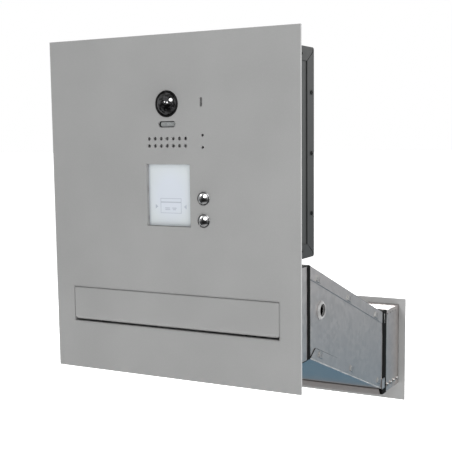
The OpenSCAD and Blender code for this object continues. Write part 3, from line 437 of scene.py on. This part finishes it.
def piece(name, bm, body, slot, replaced=(), sharp=SHARP_ANGLE):
    """Makes a finished piece of bm: smooth but for edges over the sharp angle, painted and riding."""
    bmesh.ops.remove_doubles(bm, verts=bm.verts, dist=1e-7)
    bmesh.ops.recalc_face_normals(bm, faces=bm.faces)
    for face in bm.faces:
        face.smooth = True
    for edge in bm.edges:
        edge.smooth = len(edge.link_faces) == 2 and edge.calc_face_angle(0) < sharp
    mesh = bpy.data.meshes.new(name)
    bm.to_mesh(mesh)
    bm.free()
    obj = bpy.data.objects.new(name, mesh)
    bpy.context.scene.collection.objects.link(obj)
    paint(obj, slot)
    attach(obj, body)
    if replaced:
        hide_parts(*replaced)
    return obj


def arc(centre, radius, start, end, steps):
    """Points on an arc from start to end degrees, for an outline of (r, y) or (x, z) points."""
    turns = [math.radians(start + (end - start) * i / steps) for i in range(steps + 1)]
    return [(centre[0] + radius * math.cos(a), centre[1] + radius * math.sin(a)) for a in turns]


def crown(radius, height, y, steps):
    """Outline of a shallow dome as (r, y) points, from its pole, height in front of y, to its rim at y."""
    angles = [math.radians(90 - 90 * i / steps) for i in range(steps + 1)]
    return [(radius * math.cos(a), y - height * math.sin(a)) for a in angles]


def profile(points, y):
    """Outline points given as (r, distance behind y) in millimetres."""
    return [(r * MM, y + behind * MM) for r, behind in points]


def lathe(bm, outline, x, z, segments=96):
    """Turns a closed outline of (r, y) points round the Y line through x, z."""
    rings = []
    for r, y in outline:
        if r < 1e-6:
            rings.append([bm.verts.new((x, y, z))])
            continue
        angles = [2 * math.pi * k / segments for k in range(segments)]
        rings.append([bm.verts.new((x + r * math.cos(a), y, z + r * math.sin(a))) for a in angles])
    for one, two in zip(rings, rings[1:] + rings[:1]):
        for k in range(segments):
            corners = [ring[i % len(ring)] for ring, i in ((one, k), (one, k + 1), (two, k + 1), (two, k))]
            unique = list(dict.fromkeys(corners))
            if len(unique) >= 3:
                bm.faces.new(unique)
    return bm


def skin(bm, rings, closed=False):
    """Faces between neighbouring rings of vertices. A closed skin comes back to its first ring."""
    following = rings[1:] + rings[:1] if closed else rings[1:]
    for one, two in zip(rings, following):
        for k in range(len(one)):
            n = (k + 1) % len(one)
            bm.faces.new([one[k], one[n], two[n], two[k]])
    if not closed:
        bm.faces.new(rings[0])
        bm.faces.new(rings[-1])
    return bm


def prism(bm, ends):
    """A solid between two outlines of corners."""
    return skin(bm, [[bm.verts.new(corner) for corner in end] for end in ends])


def upright(bm, outline, y0, y1):
    """A prism along Y over an (x, z) outline."""
    return prism(bm, [[(x, y, z) for x, z in outline] for y in (y0, y1)])


def slab(bm, outline, x0, x1):
    """A prism along X over a (y, z) outline."""
    return prism(bm, [[(x, y, z) for y, z in outline] for x in (x0, x1)])


def stadium(x, z, width, height):
    """Outline of a slot with round ends, as (x, z) points."""
    r = height / 2
    dx = width / 2 - r
    return arc((x + dx, z), r, -90, 90, 16) + arc((x - dx, z), r, 90, 270, 16)


def box(bm, low, high, radius=0.0):
    """A block from corner to corner, with its edges rounded."""
    centre = (Vector(low) + Vector(high)) / 2
    size = Vector(high) - Vector(low)
    place = Matrix.Translation(centre) @ Matrix.Diagonal((*size, 1))
    made = bmesh.ops.create_cube(bm, size=1, matrix=place)
    if radius:
        edges = list({e for v in made["verts"] for e in v.link_edges})
        bmesh.ops.bevel(bm, geom=edges, offset=radius, segments=3, profile=0.5, affect="EDGES")
    return bm


def centre_of(node):
    """Centre of a CAD node's box."""
    low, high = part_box(node)
    return (low + high) / 2


# ---------------------------------------------------------------- intercom module

def dome():
    """Thin smoked shell with a bright polished crown."""
    c = centre_of("camera_dome")
    low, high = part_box("camera_dome")
    ball, rim, wall, flange_r = 18.4 * MM, 15.5 * MM, 1.5 * MM, 18 * MM
    ball_y = low.y + ball
    rim_angle = math.degrees(math.asin(rim / ball))
    inner_angle = math.degrees(math.asin((rim - wall) / (ball - wall)))
    outside = arc((0, ball_y), ball, -90, rim_angle - 90, 40)
    inside = arc((0, ball_y), ball - wall, inner_angle - 90, -90, 40)
    flange = [(rim, high.y - wall), (flange_r, high.y - wall), (flange_r, high.y), (rim - wall, high.y)]
    bm = lathe(bmesh.new(), outside + flange + inside, c.x, c.z, 128)
    return piece("dome_shell", bm, HOUSING, "smoked_dome", ["camera_dome"])


def lens():
    """Lens barrel with stepped rings and a bulging front glass."""
    c = centre_of("camera_lens")
    low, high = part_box("camera_lens")
    steps = profile(((0, 1.6), (4.4, 1.6), (4.8, 1), (5.2, 1), (5.4, 0.5), (6.2, 0.3), (6.8, 0.8),
                     (6.8, 3.4), (7.2, 3.6)), low.y)
    foot = profile(((7.2, -1), (9, 0.5)), 0) + [(9 * MM, high.y), (0, high.y)]
    bm = lathe(bmesh.new(), steps + foot, c.x, c.z, 64)
    piece("lens_barrel", bm, HOUSING, "black_plastic", ["camera_lens"])
    glass_r, glass_y, bulge = 4.4 * MM, low.y + 1.5 * MM, 1.5 * MM
    glass = crown(glass_r, bulge, glass_y, 15) + [(0, glass_y + 0.3 * MM)]
    bm = lathe(bmesh.new(), glass, c.x, c.z, 64)
    piece("lens_glass", bm, HOUSING, "lens_black")


def bezel():
    """Soft-edged black ring that holds the dome in the plate."""
    c = centre_of("camera_bezel")
    low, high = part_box("camera_bezel")
    plate_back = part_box("front_plate")[1].y
    bore, neck, socket, flange = 15.7 * MM, 18.1 * MM, 18.3 * MM, 21 * MM
    seat_y = -0.3 * MM
    lip = arc((16.9 * MM, low.y + 0.9 * MM), 0.9 * MM, 200, 340, 10)
    ring = [(bore, low.y + 1.1 * MM), *lip, (neck, low.y + 1.5 * MM), (neck, plate_back),
            (flange, plate_back), (flange, high.y), (socket, high.y), (socket, seat_y), (bore, seat_y)]
    bm = lathe(bmesh.new(), ring, c.x, c.z)
    return piece("dome_ring", bm, HOUSING, "black_plastic", ["camera_bezel"])


def call_button(node):
    """Domed chrome cap on its stem, with a pocket for the return spring in its underside."""
    c = centre_of(node)
    low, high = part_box(node)
    edge, height = 7.85 * MM, 4.0 * MM
    ball = (edge ** 2 + height ** 2) / (2 * height)
    span = math.degrees(math.asin(edge / ball)) * 0.965
    face = arc((0, low.y + ball), ball, -90, span - 90, 32)
    floor_y = low.y + height
    skirt_r, skirt_y = edge - 1.2 * MM, floor_y + 4.6 * MM
    pocket_in, pocket_out, pocket_y = 3.85 * MM, 5.35 * MM, floor_y - 1.65 * MM
    stem_r = 2.5 * MM
    shoulder = [(edge - 0.12 * MM, floor_y - 0.05 * MM), (edge, floor_y + 0.25 * MM)]
    hollow = [(edge, skirt_y), (skirt_r, skirt_y), (skirt_r, floor_y), (pocket_out, floor_y),
              (pocket_out, pocket_y), (pocket_in, pocket_y), (pocket_in, floor_y), (stem_r, floor_y)]
    stem = [(stem_r, high.y - 2 * MM), *profile(((3.2, -2), (3.2, -0.4), (2.8, 0), (0, 0)), high.y)]
    bm = lathe(bmesh.new(), face + shoulder + hollow + stem, c.x, c.z)
    return piece(node.replace("call_button", "button_cap"), bm, node, "chrome_trim", [node])


def button_housings():
    """Chrome barrels with a rolled bezel, one for each call button."""
    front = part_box("front_plate")[0].y
    for node in ("call_button_upper", "call_button_lower"):
        c = centre_of(node)
        roll = arc((8.8 * MM, front - 0.72 * MM), 0.8 * MM, 180, 360, 14)
        barrel = profile(((8.6, 10), (7, 10), (7, 5), (2.55, 5), (2.55, 3), (8, 3)), 0)
        ring = [(8 * MM, front - 0.6 * MM), *roll, (9.6 * MM, front), (8.6 * MM, front), *barrel]
        bm = lathe(bmesh.new(), ring, c.x, c.z)
        made = piece(node.replace("call_button", "button_bezel"), bm, HOUSING, "chrome_trim")
        if node.endswith("upper"):
            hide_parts("button_housings")


def spring(node):
    """Round-wire return spring, wound closer at its two ends."""
    low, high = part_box(node)
    c = centre_of(node)
    wire, turns, steps, sides = 0.45 * MM, 5, 36, 10
    closed_share = 0.35
    coil_r = (high.x - low.x) / 2 - wire
    length = high.y - low.y - 2 * wire
    bm = bmesh.new()
    rings = []
    total = turns * steps
    for i in range(total + 1):
        a = 2 * math.pi * i / steps
        share = i / total
        eased = 3 * share ** 2 - 2 * share ** 3
        along = low.y + wire + length * (eased * closed_share + share * (1 - closed_share))
        ring = []
        for b in [2 * math.pi * j / sides for j in range(sides)]:
            r = coil_r + wire * math.cos(b)
            y = along + wire * math.sin(b)
            ring.append(bm.verts.new((c.x + r * math.cos(a), y, c.z + r * math.sin(a))))
        rings.append(ring)
    skin(bm, rings)
    return piece(node.replace("button_spring", "return_spring"), bm, HOUSING, "zinc_hardware", [node])


def diffuser():
    """Clear cover of the light slot, with rows of small four-sided prisms on its face."""
    c = centre_of("light_diffuser")
    low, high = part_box("light_diffuser")
    flange_y = high.y - 0.58 * MM
    width, height, shift = 24.4 * MM, 6 * MM, 0.6 * MM
    pitch, peak = 2.6 * MM, 1.3 * MM
    face_y = low.y + peak
    bm = upright(bmesh.new(), stadium(c.x, c.z, high.x - low.x, high.z - low.z), flange_y, high.y)
    upright(bm, stadium(c.x + shift, c.z, width, height), face_y, flange_y + 0.1 * MM)
    reach = height / 2 - 0.7 * MM
    straight = width / 2 - height / 2
    for i in range(-7, 8):
        for j in range(-3, 4):
            x = shift + (i + 0.5 * (j % 2)) * pitch
            z = j * pitch / 2
            if math.hypot(max(abs(x - shift) - straight, 0), z) > reach:
                continue
            foot = [bm.verts.new((c.x + x + sx * pitch / 2, face_y + 0.02 * MM, c.z + z + sz * pitch / 2))
                    for sx, sz in ((-1, 0), (0, -1), (1, 0), (0, 1))]
            tip = bm.verts.new((c.x + x, face_y - peak, c.z + z))
            for k in range(4):
                bm.faces.new([foot[k], foot[(k + 1) % 4], tip])
            bm.faces.new(foot[::-1])
    return piece("light_cover", bm, HOUSING, "clear_diffuser", ["light_diffuser"], sharp=math.radians(15))


def status_lights():
    """Short smoked light guides, set back in their two holes."""
    low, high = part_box("status_light_pipes")
    x = (low.x + high.x) / 2
    r, set_back = 1.8 * MM, 3.4 * MM
    tip = arc((0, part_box("front_plate")[0].y + set_back), r, -90, 0, 8)
    for side, z in (("upper", 102 * MM), ("lower", 85.8 * MM)):
        bm = lathe(bmesh.new(), tip + [(r, high.y), (0, high.y)], x, z, 32)
        made = piece("status_guide_" + side, bm, HOUSING, "smoked_dome")
        if side == "upper":
            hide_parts("status_light_pipes")


def window_symbols():
    """Plain printed card symbol with an arrow on each side, on the pane's face."""
    c = centre_of("reader_window")
    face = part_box("reader_window")[0].y
    thick = 0.04 * MM
    x0, z0 = c.x + 1 * MM, c.z - 14.6 * MM
    w, h, line = 34 * MM, 21 * MM, 0.8 * MM
    bm = bmesh.new()

    def bar(x, z, bw, bh):
        corner = Vector((bw / 2, thick, bh / 2))
        centre = Vector((x0 + x, face, z0 + z))
        box(bm, centre - corner, centre + corner)

    for side in (-1, 1):
        bar(0, side * (h - line) / 2, w, line)
        bar(side * (w - line) / 2, 0, line, h - 2 * line)
    bar(0, h / 2 - 5.6 * MM, w - 2 * line, 1.6 * MM)
    for x, z, bw in ((-5.5, -3.2, 8.0), (5.5, -3.2, 7.0), (-5.5, -5.4, 8.0), (5.5, -5.4, 5.0)):
        bar(x * MM, z * MM, bw * MM, 1.2 * MM)
    for side in (-1, 1):
        tip = x0 + side * (w / 2 + 4 * MM)
        tail = tip + side * 4.2 * MM
        arrow = [(tip, z0 - 1.2 * MM), (tail, z0 + 2 * MM), (tail, z0 - 4.4 * MM)]
        upright(bm, arrow, face - thick, face + thick)
    return piece("window_symbols", bm, HOUSING, "window_print")


# ---------------------------------------------------------------- rubber bands round the duct

DUCT_START, DUCT_END = 49.3 * MM, 340 * MM
DUCT_TOP, DUCT_H, DUCT_DROP = -74.5 * MM, 128 * MM, 112 * MM
DUCT_SLOPE = DUCT_DROP / (DUCT_END - DUCT_START)
SEAL_W = 8.3 * MM
SIDES = {-1: "left", 1: "right"}


def duct_z(y):
    """Height of the duct's upper line at y."""
    return DUCT_TOP - DUCT_DROP * (y - DUCT_START) / (DUCT_END - DUCT_START)


def to_side(bm, side):
    """Mirrors a mesh made for the right side when side is -1."""
    if side < 0:
        bmesh.ops.transform(bm, matrix=Matrix.Scale(-1, 4, (1, 0, 0)), verts=bm.verts)
    return bm


def loop_points(half_w, top, bottom, corner):
    """Rounded rectangle in X and Z as (point, outward normal, share along its side) tuples."""
    steps, spacing = 6, 4 * MM
    w, h = half_w, (top - bottom) / 2
    mid = (top + bottom) / 2
    sides = [((w, -h), (0, 1), 2 * h), ((w, h), (-1, 0), 2 * w),
             ((-w, h), (0, -1), 2 * h), ((-w, -h), (1, 0), 2 * w)]
    points = []
    for (x, z), (dx, dz), length in sides:
        normal = Vector((dz, 0, -dx))
        count = max(int((length - 2 * corner) / spacing), 1)
        for k in range(count + 1):
            share = k / count
            s = corner + (length - 2 * corner) * share
            points.append((Vector((x + dx * s, 0, mid + z + dz * s)), normal, share))
        ahead = Vector((dx, 0, dz))
        centre = Vector((x + dx * length, 0, mid + z + dz * length)) - (normal + ahead) * corner
        for k in range(1, steps):
            a = math.pi / 2 * k / steps
            out = normal * math.cos(a) + ahead * math.sin(a)
            points.append((centre + out * corner, out, 0.0 if k > steps / 2 else 1.0))
    return points


def wave(s, size):
    """A slow irregular wave, the same on each run."""
    return size * (math.sin(s * 61) * 0.5 + math.sin(s * 137 + 1.3) * 0.3 + math.sin(s * 291 + 0.6) * 0.2)


def rubber_band(name, half_w, top, bottom, y0, y1, pinch, thickness, ribs, replaced=(), foot=0.0):
    """A stretched band: full width at the corners, edges rolled, and drawn in along the sides.

    The pinch is how far its front and its rear edge come in.
    Along its lower side the band starts foot behind y0."""
    corner, steps = 1.2 * MM, 16
    flat, thinning, rib_depth = 0.8, 0.8, 0.12 * MM
    bm = bmesh.new()
    rings = []
    run = 0.0
    last = None
    for point, normal, share in loop_points(half_w, top, bottom, corner):
        run += (point - last).length if last else 0.0
        last = point
        draw = math.sin(math.pi * share) ** 0.7 if 0 < share < 1 else 0.0
        front = y0 + draw * pinch[0] + foot * max(0.0, -normal.z) ** 2 + wave(run, 0.25 * MM)
        rear = y1 - draw * pinch[1] + wave(run + 5, 0.3 * MM)
        ring = []
        for k in range(steps + 1):
            t = k / steps
            rolled = max(0.0, abs(2 * t - 1) - flat) / (1 - flat)
            edge = 1 - thinning * rolled ** 2
            rib = rib_depth * math.cos(2 * math.pi * ribs * t)
            out = (thickness * 0.9 + rib) * edge + wave(run + 9 * t, 0.12 * MM) * edge
            ring.append(bm.verts.new(point + normal * out + Vector((0, front + (rear - front) * t, 0))))
        for t in (1.0, 0.0):
            ring.append(bm.verts.new(point + Vector((0, front + (rear - front) * t, 0))))
        rings.append(ring)
    skin(bm, rings, closed=True)
    return piece(name, bm, HOUSING, "black_rubber", replaced, sharp=math.radians(50))


def seals():
    """Bands over both joints of the duct, foam strips on the collar, and a step under the rear joint."""
    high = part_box("front_seal")[1]
    collar_low, collar_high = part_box("front_collar")
    half, foam, foam_end = collar_high.x, 1.4 * MM, 41 * MM
    rubber_band("front_seal_band", half, collar_high.z, collar_low.z, high.y - SEAL_W - 0.2 * MM,
                high.y + 0.9 * MM, (0.4 * MM, 0.6 * MM), 1.3 * MM, 2, ["front_seal"])
    for level, y0, z0 in (("upper", -2 * MM, collar_high.z), ("lower", 24 * MM, collar_low.z - foam)):
        bm = box(bmesh.new(), (-half, y0, z0), (half, foam_end, z0 + foam), 0.3 * MM)
        piece("collar_foam_" + level, bm, HOUSING, "black_rubber")
    low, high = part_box("rear_seal")
    box_low, box_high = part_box("rear_box")
    rubber_band("rear_seal_band", half, box_high.z + 0.4 * MM, box_low.z, low.y - 0.6 * MM, high.y,
                (4.6 * MM, 1.6 * MM), high.x - half, 3, ["rear_seal"], foot=7.4 * MM)
    pale_band_strips(high.x)
    floor_z = duct_z(DUCT_END) - DUCT_H
    step = [(DUCT_END + y * MM, floor_z + z * MM)
            for y, z in ((0.2, 0), (7, 0), (7, -11.4), (6.2, -11.4), (0.2, -1.7))]
    piece("rear_seal_foot", slab(bmesh.new(), step, -half + MM, half - MM), HOUSING, "black_rubber")


def pale_band_strips(x):
    """A pale diagonal strip on the rear band near the top of each side."""
    pale_strip_outline = [(y * MM, z * MM) for y, z in ((350.6, -206), (349.4, -206), (347.0, -190), (347.9, -190))]
    for side in (-1, 1):
        bm = slab(bmesh.new(), pale_strip_outline, x - 0.9 * MM, x + 0.35 * MM)
        piece("pale_band_strip_" + SIDES[side], to_side(bm, side), HOUSING, "pale_rubber")


# ---------------------------------------------------------------- folds and seams of the duct

def bead(name, points, radii, slot):
    """A piece that is a round bead along points of one x, with a radius for each point."""
    sides = 10
    bm = bmesh.new()
    rings = []
    for i, point in enumerate(points):
        before, after = points[max(i - 1, 0)], points[min(i + 1, len(points) - 1)]
        run = Vector(after) - Vector(before)
        across = Vector((0, -run.z, run.y)).normalized()
        ring = []
        for a in [2 * math.pi * j / sides for j in range(sides)]:
            out = Vector((math.cos(a), 0, 0)) + across * math.sin(a)
            ring.append(bm.verts.new(Vector(point) + radii[i] * out))
        rings.append(ring)
    piece(name, skin(bm, rings), HOUSING, slot)


def duct_folds():
    """Rounded beads along the duct's lower folds, painted pale as a painted highlight on the folds, and the
    mastic that seals its flanges.
    """
    y0, y1 = DUCT_START + 0.3 * MM, DUCT_END - 0.3 * MM
    top_x, fold_x = 188.6 * MM, 188.2 * MM
    top_r, fold_r, seam_r, tail_r = 0.5 * MM, 0.95 * MM, 0.75 * MM, 0.6 * MM
    flange, tail, steps = 18 * MM, 0.3, 12
    corner_y = y0 + flange
    corner_z = duct_z(y0) - DUCT_H + flange - flange * DUCT_SLOPE
    for side, name in SIDES.items():
        top = [(side * top_x, y, duct_z(y) - 0.5 * MM) for y in (y0, y1)]
        bead("top_mastic_" + name, top, [top_r] * 2, "grey_rubber")
        # Painted highlight: the pale bead on each lower fold stands in for the bright line that light draws
        # along the fold's radius.
        fold = [(side * fold_x, y, duct_z(y) - DUCT_H + 0.7 * MM) for y in (y0, y1)]
        bead("fold_highlight_" + name, fold, [fold_r] * 2, "pale_rubber")
        seam = [(side * fold_x, y0 + 0.6 * MM, duct_z(y0) - DUCT_H + 0.8 * MM),
                (side * fold_x, corner_y - 0.4 * MM, corner_z)]
        radii = [seam_r] * 2
        for share in [k / steps for k in range(1, steps + 1)]:
            y = corner_y + (y1 - corner_y) * tail * share
            seam.append((side * fold_x, y, duct_z(y) - DUCT_H + flange + 0.3 * MM))
            radii.append(tail_r * (1 - 0.9 * share))
        bead("flange_mastic_" + name, seam, radii, "black_rubber")


def rivets():
    """Bright blind-rivet heads over the lower row of pressings on each side of the rear box."""
    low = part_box("rear_box")[0]
    r, bulge, rim_y = 2.9 * MM, 1.1 * MM, -0.8 * MM
    for side, name in SIDES.items():
        bm = bmesh.new()
        for y in (368 * MM, 384 * MM, 400 * MM, 416 * MM):
            made = len(bm.verts)
            lathe(bm, crown(r, bulge, rim_y, 9) + [(r, 0), (0, 0)], 0, 0, 24)
            bm.verts.ensure_lookup_table()
            place = Matrix.Translation((-side * low.x, y, low.z + 11 * MM))
            turn = Matrix.Rotation(side * math.pi / 2, 4, "Z")
            bmesh.ops.transform(bm, matrix=place @ turn, verts=bm.verts[made:])
        piece("box_rivets_" + name, bm, HOUSING, "zinc_hardware")


def clinch_tongues():
    """Bright sheared tongues at the front end of every clinch in the duct's flanges."""
    x, out, half_h, inset = 188.8 * MM, 2 * MM, 3.3 * MM, 11.5 * MM
    outline = ((x, -9.4 * MM), (x + out, -6.9 * MM), (x + out, -5.6 * MM), (x, -5.6 * MM))
    drops = {y * MM: inset for y in (77, 193, 310)}
    drops.update({y * MM: DUCT_H - inset for y in (86, 205, 324)})
    tilt = Matrix.Rotation(-math.atan(DUCT_SLOPE), 4, "X")
    for side, name in SIDES.items():
        bm = bmesh.new()
        for y, drop in drops.items():
            turn = Matrix.Translation((0, y, duct_z(y) - drop)) @ tilt
            prism(bm, [[turn @ Vector((px, py, z)) for px, py in outline] for z in (-half_h, half_h)])
        piece("clinch_tongues_" + name, to_side(bm, side), HOUSING, "zinc_hardware")


dome_shell = dome()
lens()
bezel()
BUTTON_CAPS = [call_button("call_button_upper"), call_button("call_button_lower")]
POLISHED = [dome_shell, *BUTTON_CAPS]
button_housings()
spring("button_spring_upper")
spring("button_spring_lower")
diffuser()
status_lights()
window_symbols()
seals()
duct_folds()
rivets()
clinch_tongues()


# ---------------------------------------------------------------- studio

# Tone of the surroundings by the height, and brightness by the depth, of a direction
SURROUND_FRONT = ((-1.0, grey(0.9)), (-0.84, grey(0.72)), (-0.7, grey(0.08)), (-0.42, grey(0.16)),
                  (-0.16, grey(0.26)), (0.12, grey(0.9)), (1.0, grey(1.0)))
SURROUND_REAR = ((-1.0, grey(0.9)), (-0.84, (0.65, 0.75, 0.82)), (-0.7, (0.0, 0.12, 0.22)),
                 (-0.42, (0.01, 0.22, 0.38)), (-0.16, (0.24, 0.26, 0.27)), (0.12, grey(0.9)),
                 (1.0, grey(1.0)))
SURROUND_DEPTH = ((-1.0, grey(0.1)), (-0.8, grey(0.16)), (-0.42, grey(0.65)), (0.1, grey(0.8)),
                  (0.7, grey(1.4)), (1.0, grey(2.0)))
WORLD_LIGHT = 0.6


def world():
    """White to the camera; the studio that lights the object is brighter above and behind it."""
    made = bpy.data.worlds.new("studio")
    bpy.context.scene.world = made
    made.use_nodes = True
    made.node_tree.nodes.clear()
    w = Nodes(made.node_tree)
    split = w.node("ShaderNodeSeparateXYZ")
    w.link(w.node("ShaderNodeTexCoord").outputs["Generated"], split.inputs[0])
    height, depth = split.outputs["Z"], split.outputs["Y"]
    behind = w.span(depth, 0.0, 1.0, (-0.2, 0.3))
    tone = w.blend(behind, w.ramp(height, SURROUND_FRONT), w.ramp(height, SURROUND_REAR))
    tone = w.blend(1.0, tone, w.ramp(depth, SURROUND_DEPTH), "MULTIPLY")
    lit, seen = w.node("ShaderNodeBackground"), w.node("ShaderNodeBackground")
    w.link(tone, lit.inputs["Color"])
    lit.inputs["Strength"].default_value = WORLD_LIGHT
    seen.inputs["Color"].default_value = (1, 1, 1, 1)
    pick = w.node("ShaderNodeMixShader")
    w.link(w.node("ShaderNodeLightPath").outputs["Is Camera Ray"], pick.inputs[0])
    w.link(lit.outputs[0], pick.inputs[1])
    w.link(seen.outputs[0], pick.inputs[2])
    w.link(pick.outputs[0], w.node("ShaderNodeOutputWorld").inputs["Surface"])


def linked(name, pieces, state):
    """A collection that makes a light reach only its pieces, or all but them."""
    group = bpy.data.collections.new(name)
    for obj in pieces:
        group.objects.link(obj)
    for entry in group.collection_objects:
        entry.light_linking.link_state = state
    return group


def area_light(name, direction, distance, size, power, target=(0, 0, 0), reach=None):
    """A round softbox of a size across and a power in watts, distance from target and facing it."""
    data = bpy.data.lights.new(name, "AREA")
    data.shape = "DISK"
    data.size = size
    data.energy = power
    lamp = bpy.data.objects.new(name, data)
    bpy.context.scene.collection.objects.link(lamp)
    away = Vector(direction).normalized()
    lamp.location = Vector(target) + away * distance
    lamp.rotation_mode = "QUATERNION"
    lamp.rotation_quaternion = away.to_track_quat("Z", "Y")
    lamp.light_linking.receiver_collection = reach
    lamp.visible_camera = False


def card(name, direction, size, brightness, pieces):
    """A softbox of a brightness that only the given pieces mirror, a set distance from their middle."""
    distance = 1.6
    power = brightness * math.pi ** 2 * (size / 2) ** 2
    reach = linked(name, pieces, "INCLUDE")
    area_light(name, direction, distance, size, power, centre_of_pieces(pieces), reach)


def centre_of_pieces(pieces):
    """Mean of the corners of the pieces' boxes."""
    corners = [Vector(c) for obj in pieces for c in obj.bound_box]
    return sum(corners, Vector()) / len(corners)


def floor():
    """A plain pale floor, well below the object because the object hangs in a wall."""
    gap, half_size = 0.16, 40
    level = Matrix.Translation((0, 0, cad_box[0].z - gap))
    bm = bmesh.new()
    bmesh.ops.create_grid(bm, x_segments=2, y_segments=2, size=half_size, matrix=level)
    mesh = bpy.data.meshes.new("floor")
    bm.to_mesh(mesh)
    bm.free()
    made = bpy.data.objects.new("floor", mesh)
    bpy.context.scene.collection.objects.link(made)
    f = Finish("floor", Emission_Strength=0.75, Emission_Color=(1, 1, 1, 1))
    f.colour(f.blend(f.span(f.noise(0.5), 0.0, 1.0), grey(0.93), grey(0.96)))
    f.rough(f.span(f.noise(0.1), 0.8, 0.9))
    made.data.materials.append(f.mat)
    made.visible_glossy = False


def camera():
    """A viewpoint right of the plate and a little above its centre."""
    eye = Vector((0.6995, -1.1083, 0.0954))
    yaw, pitch, roll = (math.radians(a) for a in (28.94, 7.02, -0.67))
    ahead = Vector((-math.sin(yaw) * math.cos(pitch), math.cos(yaw) * math.cos(pitch), -math.sin(pitch)))
    level = Vector((math.cos(yaw), math.sin(yaw), 0))
    above = level.cross(ahead)
    right = level * math.cos(roll) + above * math.sin(roll)
    up = above * math.cos(roll) - level * math.sin(roll)
    data = bpy.data.cameras.new("camera")
    data.sensor_width = 36
    data.lens = 75.1
    data.shift_y = 0.0664
    made = bpy.data.objects.new("camera", data)
    bpy.context.scene.collection.objects.link(made)
    turn = Matrix((right, up, -ahead)).transposed().to_4x4()
    made.matrix_world = Matrix.Translation(eye) @ turn
    bpy.context.scene.camera = made


world()
# Softboxes for everything that is not polished, and for the rear plate alone
matt = linked("matt", POLISHED, "EXCLUDE")
rear = linked("rear", [NODES["rear_plate"]], "INCLUDE")
DUCT_SIDE = (0.19, 0.2, -0.25)
area_light("key", (0.46, -0.60, 0.65), 1.6, 0.9, 6, reach=matt)
area_light("corner", (0.72, -0.62, 0.30), 1.8, 0.8, 2.5, DUCT_SIDE, matt)
area_light("side", (0.76, 0.42, 0.42), 1.8, 0.9, 16, DUCT_SIDE, matt)
area_light("rear_upper", (-0.35, -0.45, 0.82), 1.4, 0.5, 18, (0.1, 0.425, -0.18), rear)
area_light("rear_corner", (0.72, -0.62, 0.30), 1.8, 0.8, 2.6, DUCT_SIDE, rear)
area_light("rim", (-0.35, 0.8, 0.5), 2.2, 0.8, 30, (0, 0.3, -0.2))
# Softboxes that only the polished pieces mirror
card("dome_key", (0.49, -0.62, 0.53), 0.85, 30, [dome_shell])
card("dome_fill", (0.10, -0.97, 0.20), 0.42, 26, [dome_shell])
card("dome_spark", (-0.30, -0.92, 0.26), 0.25, 40, [dome_shell])
card("button_key", (0.30, -0.66, 0.66), 1.7, 3, BUTTON_CAPS)
card("button_fill", (-0.78, -0.15, 0.59), 0.8, 3, BUTTON_CAPS)
REAR_FITTINGS = [NODES[node] for node in (
    "door_hinge_frame_leaves", "door_hinge_door_leaves", "door_lock_body", "door_lock_plug")]
card("fittings_key", (0.12, 0.92, -0.32), 2.0, 0.5, REAR_FITTINGS)
floor()
camera()
bpy.context.scene.view_settings.view_transform = "Standard"

bpy.context.view_layer.update()
